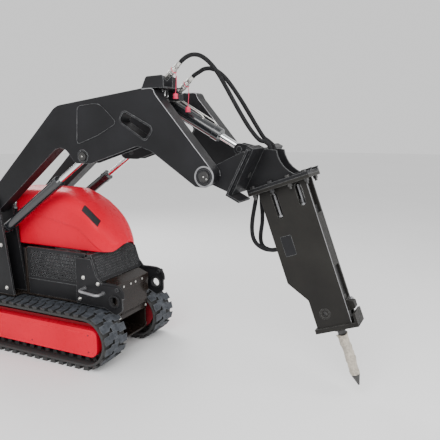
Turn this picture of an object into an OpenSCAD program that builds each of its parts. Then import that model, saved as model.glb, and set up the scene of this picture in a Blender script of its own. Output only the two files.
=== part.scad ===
// Compact tracked utility loader, arms raised, carrying a hydraulic breaker.
// Millimetres. +X is forward, +Y is the machine's left, +Z is up.
// The origin is on the ground, on the centre plane, under the front of the tracks.

/* [Tracks] */
// Distance between the centre lines of the two tracks
track_gauge = 640; // [620:5:700]
// Width of one rubber track
track_w = 240; // [200:5:250]
// Distance between the front idler and the drive sprocket
track_base = 950; // [900:10:1100]
// Height of a track over its lugs
track_h = 400; // [380:2:410]
// Height of a tread lug
lug_h = 22; // [16:1:28]
// Thickness of the rubber belt
belt_t = 18; // [14:1:22]
// Number of tread lugs along each half of a belt
lug_count = 40; // [34:2:46]
// Radius of a track roller
roller_r = 65; // [50:1:70]

/* [Chassis] */
// Half width of the hull between the tracks
hull_hw = 190; // [170:1:195]
// Plate thickness of the hull
hull_t = 10; // [8:1:14]
// Ground clearance under the hull
belly_z = 120; // [110:5:150]
// Half width of the deck and of the screens over it
deck_hw = 262; // [250:1:275]
// Height of the top of the side panels
panel_z = 786; // [770:2:800]
// Half width of the hood
hood_hw = 200; // [190:1:203]
// Height of the top of the hood
hood_z = 1228; // [1210:2:1260]
// Wall thickness of the hood
hood_t = 4; // [3:1:6]
// Distance of the operator platform's rear edge behind the origin
platform_reach = 1618; // [1580:2:1680]

/* [Loader arms] */
// Distance between the middle planes of the two arms
arm_gauge = 560; // [550:2:570]
// Width of one arm across its side plates
arm_w = 100; // [90:2:104]
// Thickness of an arm's side plates
arm_t = 8; // [6:1:12]
// Radius of the pins that the arms turn on
arm_pin_r = 22; // [18:1:26]
// Radius of the lift cylinder barrels
lift_barrel_r = 38; // [34:1:42]
// Radius of the lift cylinder rods
lift_rod_r = 20; // [16:1:24]
// Radius of the tilt cylinder barrel
tilt_barrel_r = 44; // [38:1:48]
// Radius of the tilt cylinder rod
tilt_rod_r = 22; // [18:1:26]

/* [Breaker] */
// Lean of the breaker from the vertical, foot forward
lean = 20.1; // [15:0.1:25]
// Half width of the breaker over its side plates
breaker_hw = 66; // [60:1:76]
// Thickness of the breaker's side plates
cheek_t = 20; // [16:1:24]
// Radius of the chisel
chisel_r = 26.5; // [24:0.5:28]
// Length of the chisel below the bottom guard
chisel_reach = 384; // [340:2:420]
// Radius of the sleeved hoses
hose_r = 13.5; // [11:0.5:15]

/* [Fits] */
// Radial clearance of a running fit
run_fit = 0.08; // [0.02:0.01:0.1]
// Gap between parts that pass each other
gap = 0.4; // [0.3:0.1:0.8]

/* [Hidden] */
$fn = 48;

// Axes that parts turn on, as [x, z]
idler_c = [-200, track_h / 2];
sprocket_c = idler_c - [track_base, 0];
arm_pivot = [-1100, 1100];
lift_base = [-1050, 900];
lift_eye = [-221, 1485];
tilt_base = [230, 1851];
tilt_eye = [803, 1542];
mount_pivot = [697, 1385];
cross_tube_c = [105, 1838];
cross_tube_r = 42;

// Tracks
track_y = track_gauge / 2;
track_in = track_y - track_w / 2;
track_out = track_y + track_w / 2;
wheel_hw = 30;
inner_r = track_h / 2 - lug_h - belt_t;
rail_h = 28;
rail_t = 14;
rail_gap = 8;
frame_off = wheel_hw + 4;
frame_t = wheel_hw + rail_gap + rail_t + 1 - frame_off;
frame_r = inner_r - rail_h - 12;
frame_out = track_y + frame_off + frame_t;
roller_z = track_h / 2 - inner_r + roller_r + gap;
roller_x = [idler_c[0] - 290, sprocket_c[0] + 290];
axle_r = 18;
belt_len = 2 * track_base + 2 * PI * (inner_r + belt_t);
lug_pitch = belt_len / lug_count;
guard_z = [104, 300];

// Chassis
deck_z = track_h + 10;
deck_top = deck_z + hull_t;
hull_front = -95;
hull_rear = -1250;
bolt_y = 150;
bolt_z = 330;
tower_in = arm_gauge / 2 - arm_w / 2 - 22;
tower_t = 14;
tower_out = arm_gauge / 2 + arm_w / 2 + 8;
tower_front = -920;
cowl_hw = tower_in - 4;
cowl_front = -1000;
cowl_top = 1060;
screen_top = [-247, panel_z];
screen_foot = [-180, panel_z - 195];
screen_t = 4;
pad_t = 45;
fan_c = [-400, 580];
fan_r = 142;
shaft_r = 12;
grab_rail = [[-304, 537], [-134, 520]];
grab_y = 350;
hood_hinge = [cowl_front - 12, cowl_top + 25];
hinge_pin_r = 7;
lever_pivot = [-1120, 920];
lever_shaft_r = 6;
lever_y_drive = [-100, -150];
lever_y_loader = 0;
lever_y_throttle = 110;

// Loader arms
arm_y = arm_gauge / 2;
arm_in = arm_y - arm_w / 2;
arm_out = arm_y + arm_w / 2;
band_t = 10;
rim_t = 10;
rim_proud = 4;
boss_r = 68;
eye_r = 32;
eye_hw = 26;
lift_angle = atan2(lift_base[1] - lift_eye[1], lift_base[0] - lift_eye[0]);
lift_barrel_len = 700;
lift_rod_len = 800;
tilt_angle = atan2(tilt_base[1] - tilt_eye[1], tilt_base[0] - tilt_eye[0]);
tilt_barrel_len = 477;
tilt_rod_len = 495;
barrel_wall = 8;
neck_len = 20;
gland_len = 46;
stub_gap = 4;
tilt_pin_r = 18;

// Loader mount plate and the receiver that seats on it
receiver_foot = [856, 1279];
receiver_head = [985, 1545];
receiver_t = 14;
receiver_hw = 265;
mount_t = 12;
mount_hw = 300;
seat_gap = 0.3;
plate_dir = (receiver_head - receiver_foot) / norm(receiver_head - receiver_foot);
plate_back = [-plate_dir[1], plate_dir[0]];
plate_angle = atan2(plate_dir[1], plate_dir[0]);
plate_len = norm(receiver_head - receiver_foot);
hose_lane = 60;
gusset_y = [62, 78];
lever_y = 122;
lever_at = 120;
lever_r = 14;
lever_len = 63;

// Breaker, in its own leaning frame: t is forward, z is up along the tool
chisel_t = 1546;
cheek_front = 1647;
cheek_rear = 1325;
cheek_step = 1423;
cheek_top = 863;
cheek_foot = -58;
flange_t = 20;
flange_hw = 118;
flange_rear = 1276;
flange_front = 1690;
flange_bolt_t = [1310, 1430, 1550, 1660];
lane_front = 1352;
body_hw = breaker_hw - cheek_t - gap;
body_rear = 1456;
head_top = 110;
cylinder_top = 690;
bore_r = 34;
piston_r = bore_r - run_fit;
retainer = [1500, 27];
retainer_r = 22;
chisel_top = 120;
chisel_travel = 25;
guard_t = 29;
port_z = 487;
port_y = 24;
port_reach = [1330, 1272];

// Couplers on the right arm
coupler_a = [363, -195, 1987];
coupler_b = [385, -75, 1907];
coupler_len = 138;
coupler_rise = 41.8;
coupler_dir = [cos(coupler_rise), 0, sin(coupler_rise)];

// Routes of the two hoses, from their couplers to the breaker's ports
port_dir = breaker_point(1, 0, 0);
hose_a_end = breaker_point(port_reach[0] - seat_gap, -port_y, port_z);
hose_b_end = breaker_point(port_reach[1] - seat_gap, port_y, port_z);
hose_a = [
    coupler_end(coupler_a, seat_gap), coupler_end(coupler_a, 16),
    [506, -191, 2109], [542, -182, 2122], [586, -169, 2117],
    [632, -154, 2087], [682, -128, 2025], [736, -100, 1925], [792, -75, 1816], [850, -53, 1712],
    [900, -40, 1640], [940, -33, 1600], [975, -31, 1590], [1004, -31, 1565], [1010, -31, 1522],
    [995, -31, 1470], [968, -31, 1410], [945, -31, 1350], [930, -31, 1300], [920, -31, 1250],
    [910, -31, 1190], [896, -30, 1110], [890, -29, 1040], [898, -28, 975], [926, -26, 930],
    [975, -25, 905], [1030, -24, 901], hose_a_end - port_dir * 16, hose_a_end
];
hose_b = [
    coupler_end(coupler_b, seat_gap), coupler_end(coupler_b, 16),
    [532, -75, 2026], [568, -72, 2044], [612, -65, 2046],
    [656, -55, 2028], [702, -42, 1988], [750, -26, 1924], [800, -8, 1846], [850, 8, 1762],
    [898, 20, 1682], [940, 28, 1618], [975, 31, 1592], [1004, 31, 1565], [1010, 31, 1522],
    [995, 31, 1470], [968, 31, 1410], [945, 31, 1350], [932, 31, 1300], [928, 31, 1250],
    [932, 31, 1190], [938, 30, 1128], [938, 29, 1062], [930, 28, 998], [932, 26, 942],
    [952, 25, 906], [985, 24, 893], hose_b_end - port_dir * 16, hose_b_end
];

// ---- Geometry helpers ----

function unit(v) = v / norm(v);
function seat(along, back) = receiver_foot + plate_dir * along + plate_back * back;
function at(p, angle, r) = p + r * [cos(angle), sin(angle)];
function flat(p) = [p[0], p[1]];
function coupler_end(p, past) = p + coupler_dir * (coupler_len + past);
function breaker_point(t, y, z) = [t * cos(lean) - z * sin(lean), y, t * sin(lean) + z * cos(lean)];

// An arc of radius r that rounds the corner at p between a and b
function corner(a, p, b, r, n = 6) =
    r <= 0 ? [p] :
    let (u = unit(a - p), v = unit(b - p), half = acos(u * v) / 2)
    let (c = p + unit(u + v) * r / sin(half))
    let (s = p + u * r / tan(half) - c, e = p + v * r / tan(half) - c)
    let (start = atan2(s[1], s[0]), turn = atan2(s[0] * e[1] - s[1] * e[0], s * e))
    [for (i = [0:n]) at(c, start + turn * i / n, r)];

// An outline of [x, y, corner radius] points with its corners rounded
function rounded(pts) = [
    for (i = [0:len(pts) - 1])
        each corner(flat(pts[(i + len(pts) - 1) % len(pts)]), flat(pts[i]),
            flat(pts[(i + 1) % len(pts)]), pts[i][2])
];

// An anticlockwise outline of [x, y, corner radius] points moved inwards by d
function inset(pts, d) = [
    for (i = [0:len(pts) - 1])
        let (p = flat(pts[i]), q = flat(pts[(i + len(pts) - 1) % len(pts)]))
        let (s = flat(pts[(i + 1) % len(pts)]), e0 = unit(p - q), e1 = unit(s - p))
        let (n0 = [-e0[1], e0[0]], n1 = [-e1[1], e1[0]])
        let (turn = e0[0] * e1[1] - e0[1] * e1[0])
        concat(p + (n0 + n1) * d / (1 + n0 * n1), [max(0, pts[i][2] - sign(turn) * d)])
];

// Rings of a tube that follows a route of points
function ring(p, dir, r, n) =
    let (side = unit(cross([0, 1, 0.001], dir)), up = cross(dir, side))
    [for (k = [0:n - 1]) p + r * (cos(360 * k / n) * side + sin(360 * k / n) * up)];

function heading(route, i) =
    unit(route[min(i + 1, len(route) - 1)] - route[max(i - 1, 0)]);

// A tube of radius r along a route, as one closed polyhedron
module tube(route, r, n = 10) {
    last = len(route) - 1;
    rings = [for (i = [0:last]) ring(route[i], heading(route, i), r, n)];
    walls = [
        for (i = [0:last - 1], k = [0:n - 1])
            let (a = i * n + k, b = i * n + (k + 1) % n)
            each [[a, a + n, b + n], [a, b + n, b]]
    ];
    caps = [[for (k = [0:n - 1]) k], [for (k = [n - 1:-1:0]) last * n + k]];
    polyhedron([for (r = rings) each r], concat(walls, caps));
}

// Side view outline from y0 to y1
module plate_y(pts, y0, y1) {
    translate([0, y1, 0])
        rotate([90, 0, 0])
            linear_extrude(y1 - y0)
                polygon(pts);
}

// Block between two corners
module block(a, b) {
    translate(a)
        cube(b - a);
}

// Round bar across the machine at c = [x, z]
module bar_y(c, r, y0, y1) {
    translate([c[0], y1, c[1]])
        rotate([90, 0, 0])
            cylinder(h = y1 - y0, r = r);
}

// Round bar in the side view, from c along an angle above +X
module bar_along(c, y, angle, r, from, to) {
    translate([c[0], y, c[1]])
        rotate([0, 90 - angle, 0])
            translate([0, 0, from])
                cylinder(h = to - from, r = r);
}

module both_sides() {
    children();
    mirror([0, 1, 0])
        children();
}

// Places parts in the breaker's leaning frame
module leaning() {
    rotate([0, -lean, 0])
        children();
}

// Places parts on the receiver's front face, x out of it, z up along it
module on_receiver() {
    translate([receiver_foot[0], 0, receiver_foot[1]])
        rotate([0, 90 - plate_angle, 0])
            children();
}

// ---- Tracks ----

// Point on a loop of radius r round the idler and sprocket, s along it
function loop_point(s, r, ref) =
    let (half = PI * ref, leg = track_base, q = s % (2 * (leg + half)))
    q < leg ? [sprocket_c[0] + q, track_h / 2 - r] :
    q < leg + half ? at(idler_c, -90 + 180 * (q - leg) / half, r) :
    q < 2 * leg + half ? [idler_c[0] - (q - leg - half), track_h / 2 + r] :
    at(sprocket_c, 90 + 180 * (q - 2 * leg - half) / half, r);

// Tread outline: lugs that stand on the belt, shifted along it by a share of the pitch
function tread(shift) =
    let (ref = inner_r + belt_t, foot = 0.64, crest = 0.5)
    [
        for (i = [0:lug_count - 1])
            let (s = (i + shift) * lug_pitch)
            each [
                loop_point(s, ref, ref),
                loop_point(s + lug_pitch * (foot - crest) / 2, ref + lug_h, ref),
                loop_point(s + lug_pitch * (foot + crest) / 2, ref + lug_h, ref),
                loop_point(s + lug_pitch * foot, ref, ref)
            ]
    ];

module loop_2d(r) {
    for (c = [idler_c, sprocket_c])
        translate(c)
            circle(r, $fn = 96);
    translate(sprocket_c - [0, r])
        square([track_base, 2 * r]);
}

module belt_band(y0, y1, shift) {
    translate([0, y1, 0])
        rotate([90, 0, 0])
            linear_extrude(y1 - y0)
                difference() {
                    polygon(tread(shift));
                    loop_2d(inner_r);
                }
}

module guide_rail(y0) {
    translate([0, y0 + rail_t, 0])
        rotate([90, 0, 0])
            linear_extrude(rail_t)
                difference() {
                    loop_2d(inner_r + 1);
                    loop_2d(inner_r - rail_h);
                }
}

module track_belt() {
    color("dimgray") {
        belt_band(track_in, track_y, 0);
        belt_band(track_y, track_out, 0.5);
        guide_rail(track_y + wheel_hw + rail_gap);
        guide_rail(track_y - wheel_hw - rail_gap - rail_t);
    }
}

module left_track_belt() {
    track_belt();
}

module right_track_belt() {
    mirror([0, 1, 0])
        track_belt();
}

// Drum that turns on an axle, with a hub each side
module track_wheel(c, r, rim) {
    hub_r = axle_r + 22;
    color("dimgray")
        difference() {
            bar_y(c, r, track_y - wheel_hw, track_y + wheel_hw);
            bar_y(c, axle_r + run_fit, track_y - 40, track_y + 40);
            for (s = [-1, 1])
                translate([c[0], track_y + s * (wheel_hw + 1), c[1]])
                    rotate([90, 0, 0])
                        difference() {
                            cylinder(h = wheel_hw + 2, r = r - rim, center = true);
                            cylinder(h = wheel_hw + 4, r = hub_r, center = true);
                        }
        }
}

module drive_sprocket() {
    teeth = 12;
    color("dimgray")
        difference() {
            union() {
                track_wheel(sprocket_c, inner_r - 34, 22);
                for (i = [0:teeth - 1])
                    translate([sprocket_c[0], 0, sprocket_c[1]])
                        rotate([0, 360 / teeth * i, 0])
                            bar_y([inner_r - 22, 0], 16, track_y - wheel_hw + 4, track_y + wheel_hw - 4);
            }
            bar_y(sprocket_c, axle_r + run_fit, track_y - 40, track_y + 40);
        }
}

module left_sprocket() {
    drive_sprocket();
}

module right_sprocket() {
    mirror([0, 1, 0])
        drive_sprocket();
}

module left_idler() {
    track_wheel(idler_c, inner_r - gap, 20);
}

module right_idler() {
    mirror([0, 1, 0])
        left_idler();
}

module track_roller(i) {
    track_wheel([roller_x[i], roller_z], roller_r, 12);
}

module left_front_roller() {
    track_roller(0);
}

module left_rear_roller() {
    track_roller(1);
}

module right_front_roller() {
    mirror([0, 1, 0])
        track_roller(0);
}

module right_rear_roller() {
    mirror([0, 1, 0])
        track_roller(1);
}

// One side's frame: two cheeks, the beam over the rollers, axles and struts to the hull
module track_frame() {
    beam_front = idler_c[0] - inner_r - 10;
    beam_rear = sprocket_c[0] + inner_r + 10;
    beam_z = [roller_z + roller_r + 8, track_h / 2 + frame_r - 20];
    for (y = [track_y - frame_off - frame_t, track_y + frame_off])
        translate([0, y + frame_t, 0])
            rotate([90, 0, 0])
                linear_extrude(frame_t)
                    loop_2d(frame_r);
    block([beam_rear, track_y - frame_off, beam_z[0]], [beam_front, track_y + frame_off, beam_z[1]]);
    for (c = [idler_c, sprocket_c, [roller_x[0], roller_z], [roller_x[1], roller_z]])
        bar_y(c, axle_r, track_y - frame_off - 1, track_y + frame_off + 1);
    for (x = [idler_c[0] - 230, sprocket_c[0] + 150])
        block([x, hull_hw, track_h / 2 - 40], [x + 80, track_y - frame_off - 1, track_h / 2 + 60]);
}

module track_frames() {
    color("firebrick")
        both_sides()
            track_frame();
}

function guard_outline() = [
    [sprocket_c[0] - 115, guard_z[0], 60], [idler_c[0] + 115, guard_z[0], 60],
    [idler_c[0] + 115, guard_z[1], 45], [sprocket_c[0] - 115, guard_z[1], 45]
];

module track_guards() {
    color("crimson")
        both_sides()
            difference() {
                union() {
                    plate_y(rounded(guard_outline()), frame_out, track_out - 4);
                    plate_y(rounded(inset(guard_outline(), 26)), track_out - 5, track_out);
                }
                plate_y(rounded(inset(guard_outline(), 6)), frame_out - 1, track_out - 10);
            }
}

// ---- Chassis ----

module main_frame() {
    color("#2b2522") {
        both_sides() {
            block([hull_rear, hull_hw - hull_t, belly_z], [hull_front, hull_hw, deck_z]);
            block([hull_rear, hull_hw - 1, deck_z], [tower_front, tower_out + tower_t, deck_top]);
            block([-880, deck_hw - 30, deck_top - 1], [-860, deck_hw, panel_z - 12]);
        }
        block([hull_rear, 1 - hull_hw, belly_z], [hull_front, hull_hw - 1, belly_z + hull_t]);
        block([hull_rear, -hull_hw, deck_z], [-420, hull_hw, deck_top]);
        block([-400, -deck_hw, deck_z], [-110, deck_hw, deck_top]);
        block([-421, -deck_hw, deck_z], [-399, deck_hw, deck_top]);
        block([-920, -deck_hw, deck_z], [-420, deck_hw, deck_top]);
        block([hull_rear, -hull_hw, belly_z], [hull_rear + hull_t, hull_hw, deck_top]);
    }
}

// Bulkhead between the fronts of the tracks, with a flange that slopes up to the screen
module front_plate() {
    front_z = [291, 562];
    wide = hull_hw + 18;
    skirt = [-170, screen_foot[1] - 4];
    color("#33211c") {
        difference() {
            union() {
                block([hull_front + gap, -track_in + 16, front_z[0]],
                    [hull_front + 14, track_in - 16, front_z[1]]);
                block([hull_front + gap, -wide, deck_top], [hull_front + 14, wide, front_z[1]]);
            }
            for (y = [-bolt_y, bolt_y])
                translate([hull_front, y, bolt_z])
                    rotate([0, 90, 0])
                        cylinder(h = 40, r = 8);
        }
        plate_y([
            [hull_front + 1, front_z[1] - 12], [hull_front + 13, front_z[1] - 1],
            skirt + [4, 4], skirt - [0, 6]
        ], -wide, wide);
        both_sides()
            block([-130, 150, deck_top + gap], [hull_front + 1, 162, front_z[1] - 14]);
    }
}

function hook_outline() = [
    [-378, deck_z + 7, 0], [-120, deck_z + 2, 30], [-33, 372, 30], [24, 412, 40], [24, 540, 50],
    [-30, 584, 30], [-150, 584, 20], [-200, 640, 20], [-240, panel_z - 30, 10], [-378, panel_z - 30, 0]
];

module tie_down_plates() {
    eye = [-43, 471];
    color("#1d1d1f")
        both_sides() {
            difference() {
                plate_y(rounded(hook_outline()), deck_hw + gap, deck_hw + 14);
                plate_y(rounded([
                    [eye[0] - 33, eye[1] - 30, 26], [eye[0] + 33, eye[1] - 30, 26],
                    [eye[0] + 33, eye[1] + 34, 26], [eye[0] - 33, eye[1] + 34, 26]
                ]), deck_hw - 1, deck_hw + 20);
                for (c = [[-311, 615], [-260, 700]])
                    bar_y(c, 7, deck_hw - 1, deck_hw + 20);
            }
            bar_y([-8, 566], 14, deck_hw - 18, deck_hw + 32);
        }
}

module front_screen() {
    dir = unit(screen_foot - screen_top);
    out = [-dir[1], dir[0]];
    color("#1d1d1f") {
        difference() {
            plate_y([screen_top, screen_foot, screen_foot - out * screen_t, screen_top - out * screen_t],
                -deck_hw, deck_hw);
            for (y = [-225:50:225])
                plate_y([
                    screen_top + dir * 24 + out, screen_foot - dir * 24 + out,
                    screen_foot - dir * 24 - out * 9, screen_top + dir * 24 - out * 9
                ], y - 18, y + 18);
        }
        block([screen_top[0] - 50, -deck_hw + 1, panel_z - 4], [screen_top[0] - 2, deck_hw - 1, panel_z]);
    }
}

module side_panels() {
    color("#1d1d1f")
        both_sides()
            difference() {
                block([-858, deck_hw - 12, deck_top + gap], [-310, deck_hw - 8, panel_z - gap]);
                for (x = [-820:60:-400])
                    block([x, deck_hw - 20, 520], [x + 40, deck_hw, 700]);
            }
}

// Tower plates that carry the arms and the lift cylinders
function tower_outline() = [
    [hull_rear, deck_top, 0], [tower_front, deck_top, 0], [-985, 880, 40],
    [-1030, 1168, 60], [-1160, 1168, 60], [-1225, 900, 40]
];

module arm_towers() {
    color("#1d1d1f")
        both_sides() {
            difference() {
                union() {
                    plate_y(rounded(tower_outline()), tower_in, tower_in + tower_t);
                    plate_y(rounded(tower_outline()), tower_out, tower_out + tower_t);
                    block([hull_rear, tower_in + 1, deck_top], [hull_rear + hull_t, tower_out + 1, 840]);
                }
                bar_y(arm_pivot, arm_pin_r, tower_in - 1, tower_out + tower_t + 1);
            }
            bar_y(lift_base, 24, tower_in + tower_t - 1, arm_y - eye_hw - stub_gap);
            bar_y(lift_base, 24, arm_y + eye_hw + stub_gap, tower_out + 1);
        }
}

module tower_pins() {
    color("silver")
        both_sides() {
            bar_y(arm_pivot, arm_pin_r, tower_in, tower_out + tower_t);
            bar_y(arm_pivot, arm_pin_r + 12, tower_out + tower_t, tower_out + tower_t + 8);
        }
}

module engine() {
    color("gray") {
        block([-770, -130, deck_top + 20], [-470, 130, 700]);
        block([-740, -80, 699], [-500, 80, 790]);
        for (x = [-740, -510], s = [-1, 1])
            block([x, s * 100 - 20, deck_top], [x + 30, s * 100 + 20, deck_top + 21]);
        bar_along([-471, fan_c[1]], 0, 0, 60, 0, 40);
        bar_along([-769, 600], 0, 180, 110, 0, 31);
        bar_along([-432, fan_c[1]], 0, 0, shaft_r, 0, 50);
    }
}

module cooling_fan() {
    color("#222222")
        difference() {
            union() {
                bar_along(fan_c - [16, 0], 0, 0, 34, 0, 24);
                for (a = [0:60:300])
                    translate([fan_c[0], 0, fan_c[1]])
                        rotate([a, 0, 0])
                            translate([-4, -16, 30])
                                rotate([0, 0, 30])
                                    cube([4, 34, fan_r - 30]);
            }
            bar_along(fan_c - [40, 0], 0, 0, shaft_r + run_fit, 0, 80);
        }
}

module radiator() {
    color("#8a8d90") {
        block([-365, -190, deck_top], [-315, 190, 740]);
        block([-360, -170, 739], [-320, 170, 772]);
    }
}

module hydraulic_pump() {
    color("#55585c") {
        bar_along([-800 - gap, 600], 0, 180, 60, 0, 70);
        block([-900, -45, 555], [-860, 45, 645]);
        bar_along([-861, 600], 0, 180, 30, -4, 2);
    }
}

module fuel_tank() {
    color("#2a2a2a") {
        block([-990, -180, deck_top], [-925, 180, 750]);
        bar_along([-957, 749], 0, 90, 24, 0, 34);
    }
}

module hydraulic_tank() {
    color("#3a3a3c")
        block([-1235, -175, deck_top], [-1020, 175, 760]);
}

module counterweight() {
    color("#1d1d1f")
        plate_y(rounded([
            [hull_rear - 110, 150, 30], [hull_rear - gap, 150, 0],
            [hull_rear - gap, 400, 0], [hull_rear - 110, 400, 60]
        ]), -185, 185);
}

// Cowl round the operator's end, open underneath
function cowl_outline(d) = [
    [hull_rear - 20 + d, deck_top + gap], [cowl_front - d, deck_top + gap],
    [cowl_front - d, cowl_top - d], [hull_rear + 10 + d, cowl_top - d],
    [hull_rear - 20 + d, cowl_top - 50 - d]
];

module rear_cowl() {
    wall = 5;
    slot = [90, 14];
    color("#202022") {
        difference() {
            plate_y(cowl_outline(0), -cowl_hw, cowl_hw);
            plate_y(cowl_outline(wall), wall - cowl_hw, cowl_hw - wall);
            block([hull_rear - 20 + wall, wall - cowl_hw, deck_top],
                [cowl_front - wall, cowl_hw - wall, deck_top + 60]);
            for (y = concat(lever_y_drive, [lever_y_loader, lever_y_throttle]))
                translate([lever_pivot[0] - slot[0] / 2, y - slot[1] / 2, cowl_top - 20])
                    cube([slot[0], slot[1], 40]);
        }
        bar_y(lever_pivot, lever_shaft_r, 1 - cowl_hw, cowl_hw - 1);
        both_sides() {
            block([hood_hinge[0] - 12, 140, cowl_top - 1], [cowl_front - 4, 150, hood_hinge[1] + 12]);
            bar_y(hood_hinge, hinge_pin_r, 149, 182);
        }
    }
}

module thigh_pad() {
    color("#161616")
        block([hull_rear - 20 - pad_t, -170, 640], [hull_rear - 20 - gap, 170, 860]);
}

module operator_platform() {
    tread_z = 205;
    color("#2a2a2c") {
        difference() {
            block([-platform_reach, -230, tread_z], [hull_rear - 130, 230, tread_z + 12]);
            for (x = [-platform_reach + 30:40:hull_rear - 170], y = [-180:60:180])
                translate([x, y, tread_z - 1])
                    cylinder(h = 14, r = 12, $fn = 24);
        }
        both_sides()
            plate_y(rounded([
                [-platform_reach + 20, tread_z - 30, 10], [hull_rear + 40, 150, 0],
                [hull_rear + 40, 240, 0], [hull_rear - 90, 240, 20],
                [hull_rear - 130, tread_z + 1, 0], [-platform_reach + 20, tread_z + 1, 0]
            ]), hull_hw + gap, hull_hw + 9);
    }
}

// Side grab rails and the bar that the operator leans against
module hand_rails() {
    rail_r = 11;
    lean_bar = [hull_rear + 28, cowl_top + 70];
    color("#1d1d1f") {
        both_sides() {
            run = grab_rail[1] - grab_rail[0];
            bar_along(grab_rail[0], grab_y, atan2(run[1], run[0]), rail_r, -12, norm(run) + 12);
            for (p = grab_rail)
                bar_y(p, rail_r - 2, deck_hw + 14 + gap, grab_y);
        }
        bar_y(lean_bar, 13, 20 - cowl_hw, cowl_hw - 20);
        both_sides()
            bar_along(lean_bar, cowl_hw - 40, -90, 13, 0, lean_bar[1] - cowl_top - gap);
    }
}

// Lever that turns on the shaft under the cowl's top
module control_lever(y, grip_r, length) {
    color("#222222")
        difference() {
            union() {
                bar_y(lever_pivot, 14, y - 6, y + 6);
                bar_along(lever_pivot, y, 90, 5, 0, length - 40);
                bar_along(lever_pivot, y, 90, grip_r, length - 60, length);
                translate([lever_pivot[0], y, lever_pivot[1] + length])
                    sphere(r = grip_r);
            }
            bar_y(lever_pivot, lever_shaft_r + run_fit, y - 8, y + 8);
        }
}

module left_drive_lever() {
    control_lever(lever_y_drive[0], 14, 230);
}

module right_drive_lever() {
    control_lever(lever_y_drive[1], 14, 230);
}

module loader_lever() {
    control_lever(lever_y_loader, 16, 210);
}

module throttle_lever() {
    control_lever(lever_y_throttle, 9, 215);
}

// Hood: a side profile crossed with a plan that ends in a round nose
function hood_profile() = [
    [cowl_front + 4, panel_z + 18, 0], [-160, panel_z + 18, 0], [-109, 840, 20], [-109, 866, 20],
    [-151, 927, 60], [-246, 1041, 120], [-380, 1153, 140], [-563, hood_z, 160], [cowl_front + 4, hood_z, 60]
];

function hood_plan() = concat(
    [[cowl_front + 4, hood_hw], [cowl_front + 4, -hood_hw]],
    [for (a = [-90:7.5:90]) at([-109 - hood_hw, 0], a, hood_hw)]
);

function hood_plan_in() = concat(
    [[cowl_front + 4 + hood_t, hood_hw - hood_t], [cowl_front + 4 + hood_t, hood_t - hood_hw]],
    [for (a = [-90:7.5:90]) at([-109 - hood_hw, 0], a, hood_hw - hood_t)]
);

module hood() {
    tall = hood_z - panel_z + 100;
    rear = cowl_front + 4;
    color("crimson")
        difference() {
            union() {
                intersection() {
                    plate_y(rounded(hood_profile()), -hood_hw - 10, hood_hw + 10);
                    translate([0, 0, panel_z - 20])
                        linear_extrude(tall)
                            polygon(hood_plan());
                }
                both_sides() {
                    block([hood_hinge[0], 155, hood_hinge[1] - 8], [rear + 1, 175, hood_hinge[1] + 8]);
                    bar_y(hood_hinge, hinge_pin_r + 6, 155, 175);
                }
            }
            intersection() {
                plate_y(rounded(inset(hood_profile(), hood_t)), -hood_hw - 10, hood_hw + 10);
                translate([0, 0, panel_z - 20])
                    linear_extrude(tall)
                        polygon(hood_plan_in());
            }
            block([rear + hood_t, hood_t + 20 - hood_hw, panel_z],
                [-250, hood_hw - hood_t - 20, panel_z + 40]);
            bar_y(hood_hinge, hinge_pin_r + run_fit, -190, 190);
        }
}

// ---- Loader arms ----

// Beam of an arm in side view, rear boss to front boss
function beam_outline() = [
    [-1055, 1047, 0], [-400, 1575, 90], [60, 1548, 0], [225, 1574, 80], [325, 1534, 120],
    [637, 1322, 0], [697, 1318, 40], [765, 1385, 40], [748, 1430, 0], [369, 1875, 40],
    [345, 1919, 30], [258, 1919, 60], [-440, 1822, 140], [-1147, 1152, 0]
];

// Side plate of an arm: the beam with the ear that the lift cylinder pushes on
function side_outline() = [
    [-1055, 1047, 0], [-400, 1575, 90], [-290, 1437, 45], [-160, 1437, 30], [225, 1564, 80],
    [325, 1530, 120], [637, 1322, 0], [697, 1318, 40], [765, 1385, 40], [748, 1430, 0],
    [369, 1875, 40], [345, 1919, 30], [258, 1919, 60], [-440, 1822, 140], [-1147, 1152, 0]
];

// Window through the bend of an arm
function window_outline() = [[90, 1720, 24], [284, 1601, 24], [336, 1673, 24], [123, 1780, 24]];

module loader_arm() {
    color("#17181a")
        difference() {
            union() {
                difference() {
                    union() {
                        plate_y(rounded(side_outline()), arm_in, arm_in + arm_t);
                        plate_y(rounded(side_outline()), arm_out - arm_t, arm_out);
                    }
                    plate_y(rounded(window_outline()), arm_in - 1, arm_out + 1);
                }
                difference() {
                    plate_y(rounded(beam_outline()), arm_in + arm_t - 1, arm_out - arm_t + 1);
                    plate_y(rounded(inset(beam_outline(), band_t)), arm_in, arm_out);
                }
                difference() {
                    plate_y(rounded(inset(window_outline(), -rim_t)),
                        arm_in - rim_proud, arm_out + rim_proud);
                    plate_y(rounded(window_outline()), arm_in - 10, arm_out + 10);
                }
                bar_y(arm_pivot, boss_r, arm_in, arm_out);
                bar_y(mount_pivot, boss_r - 14, arm_in, arm_out);
            }
            bar_y(arm_pivot, arm_pin_r + run_fit, arm_in - 1, arm_out + 1);
            bar_y(mount_pivot, arm_pin_r, arm_in - 1, arm_out + 1);
            bar_y(lift_eye, arm_pin_r - 4, arm_in - 1, arm_out + 1);
        }
}

module left_loader_arm() {
    loader_arm();
}

module right_loader_arm() {
    mirror([0, 1, 0])
        loader_arm();
}

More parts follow.
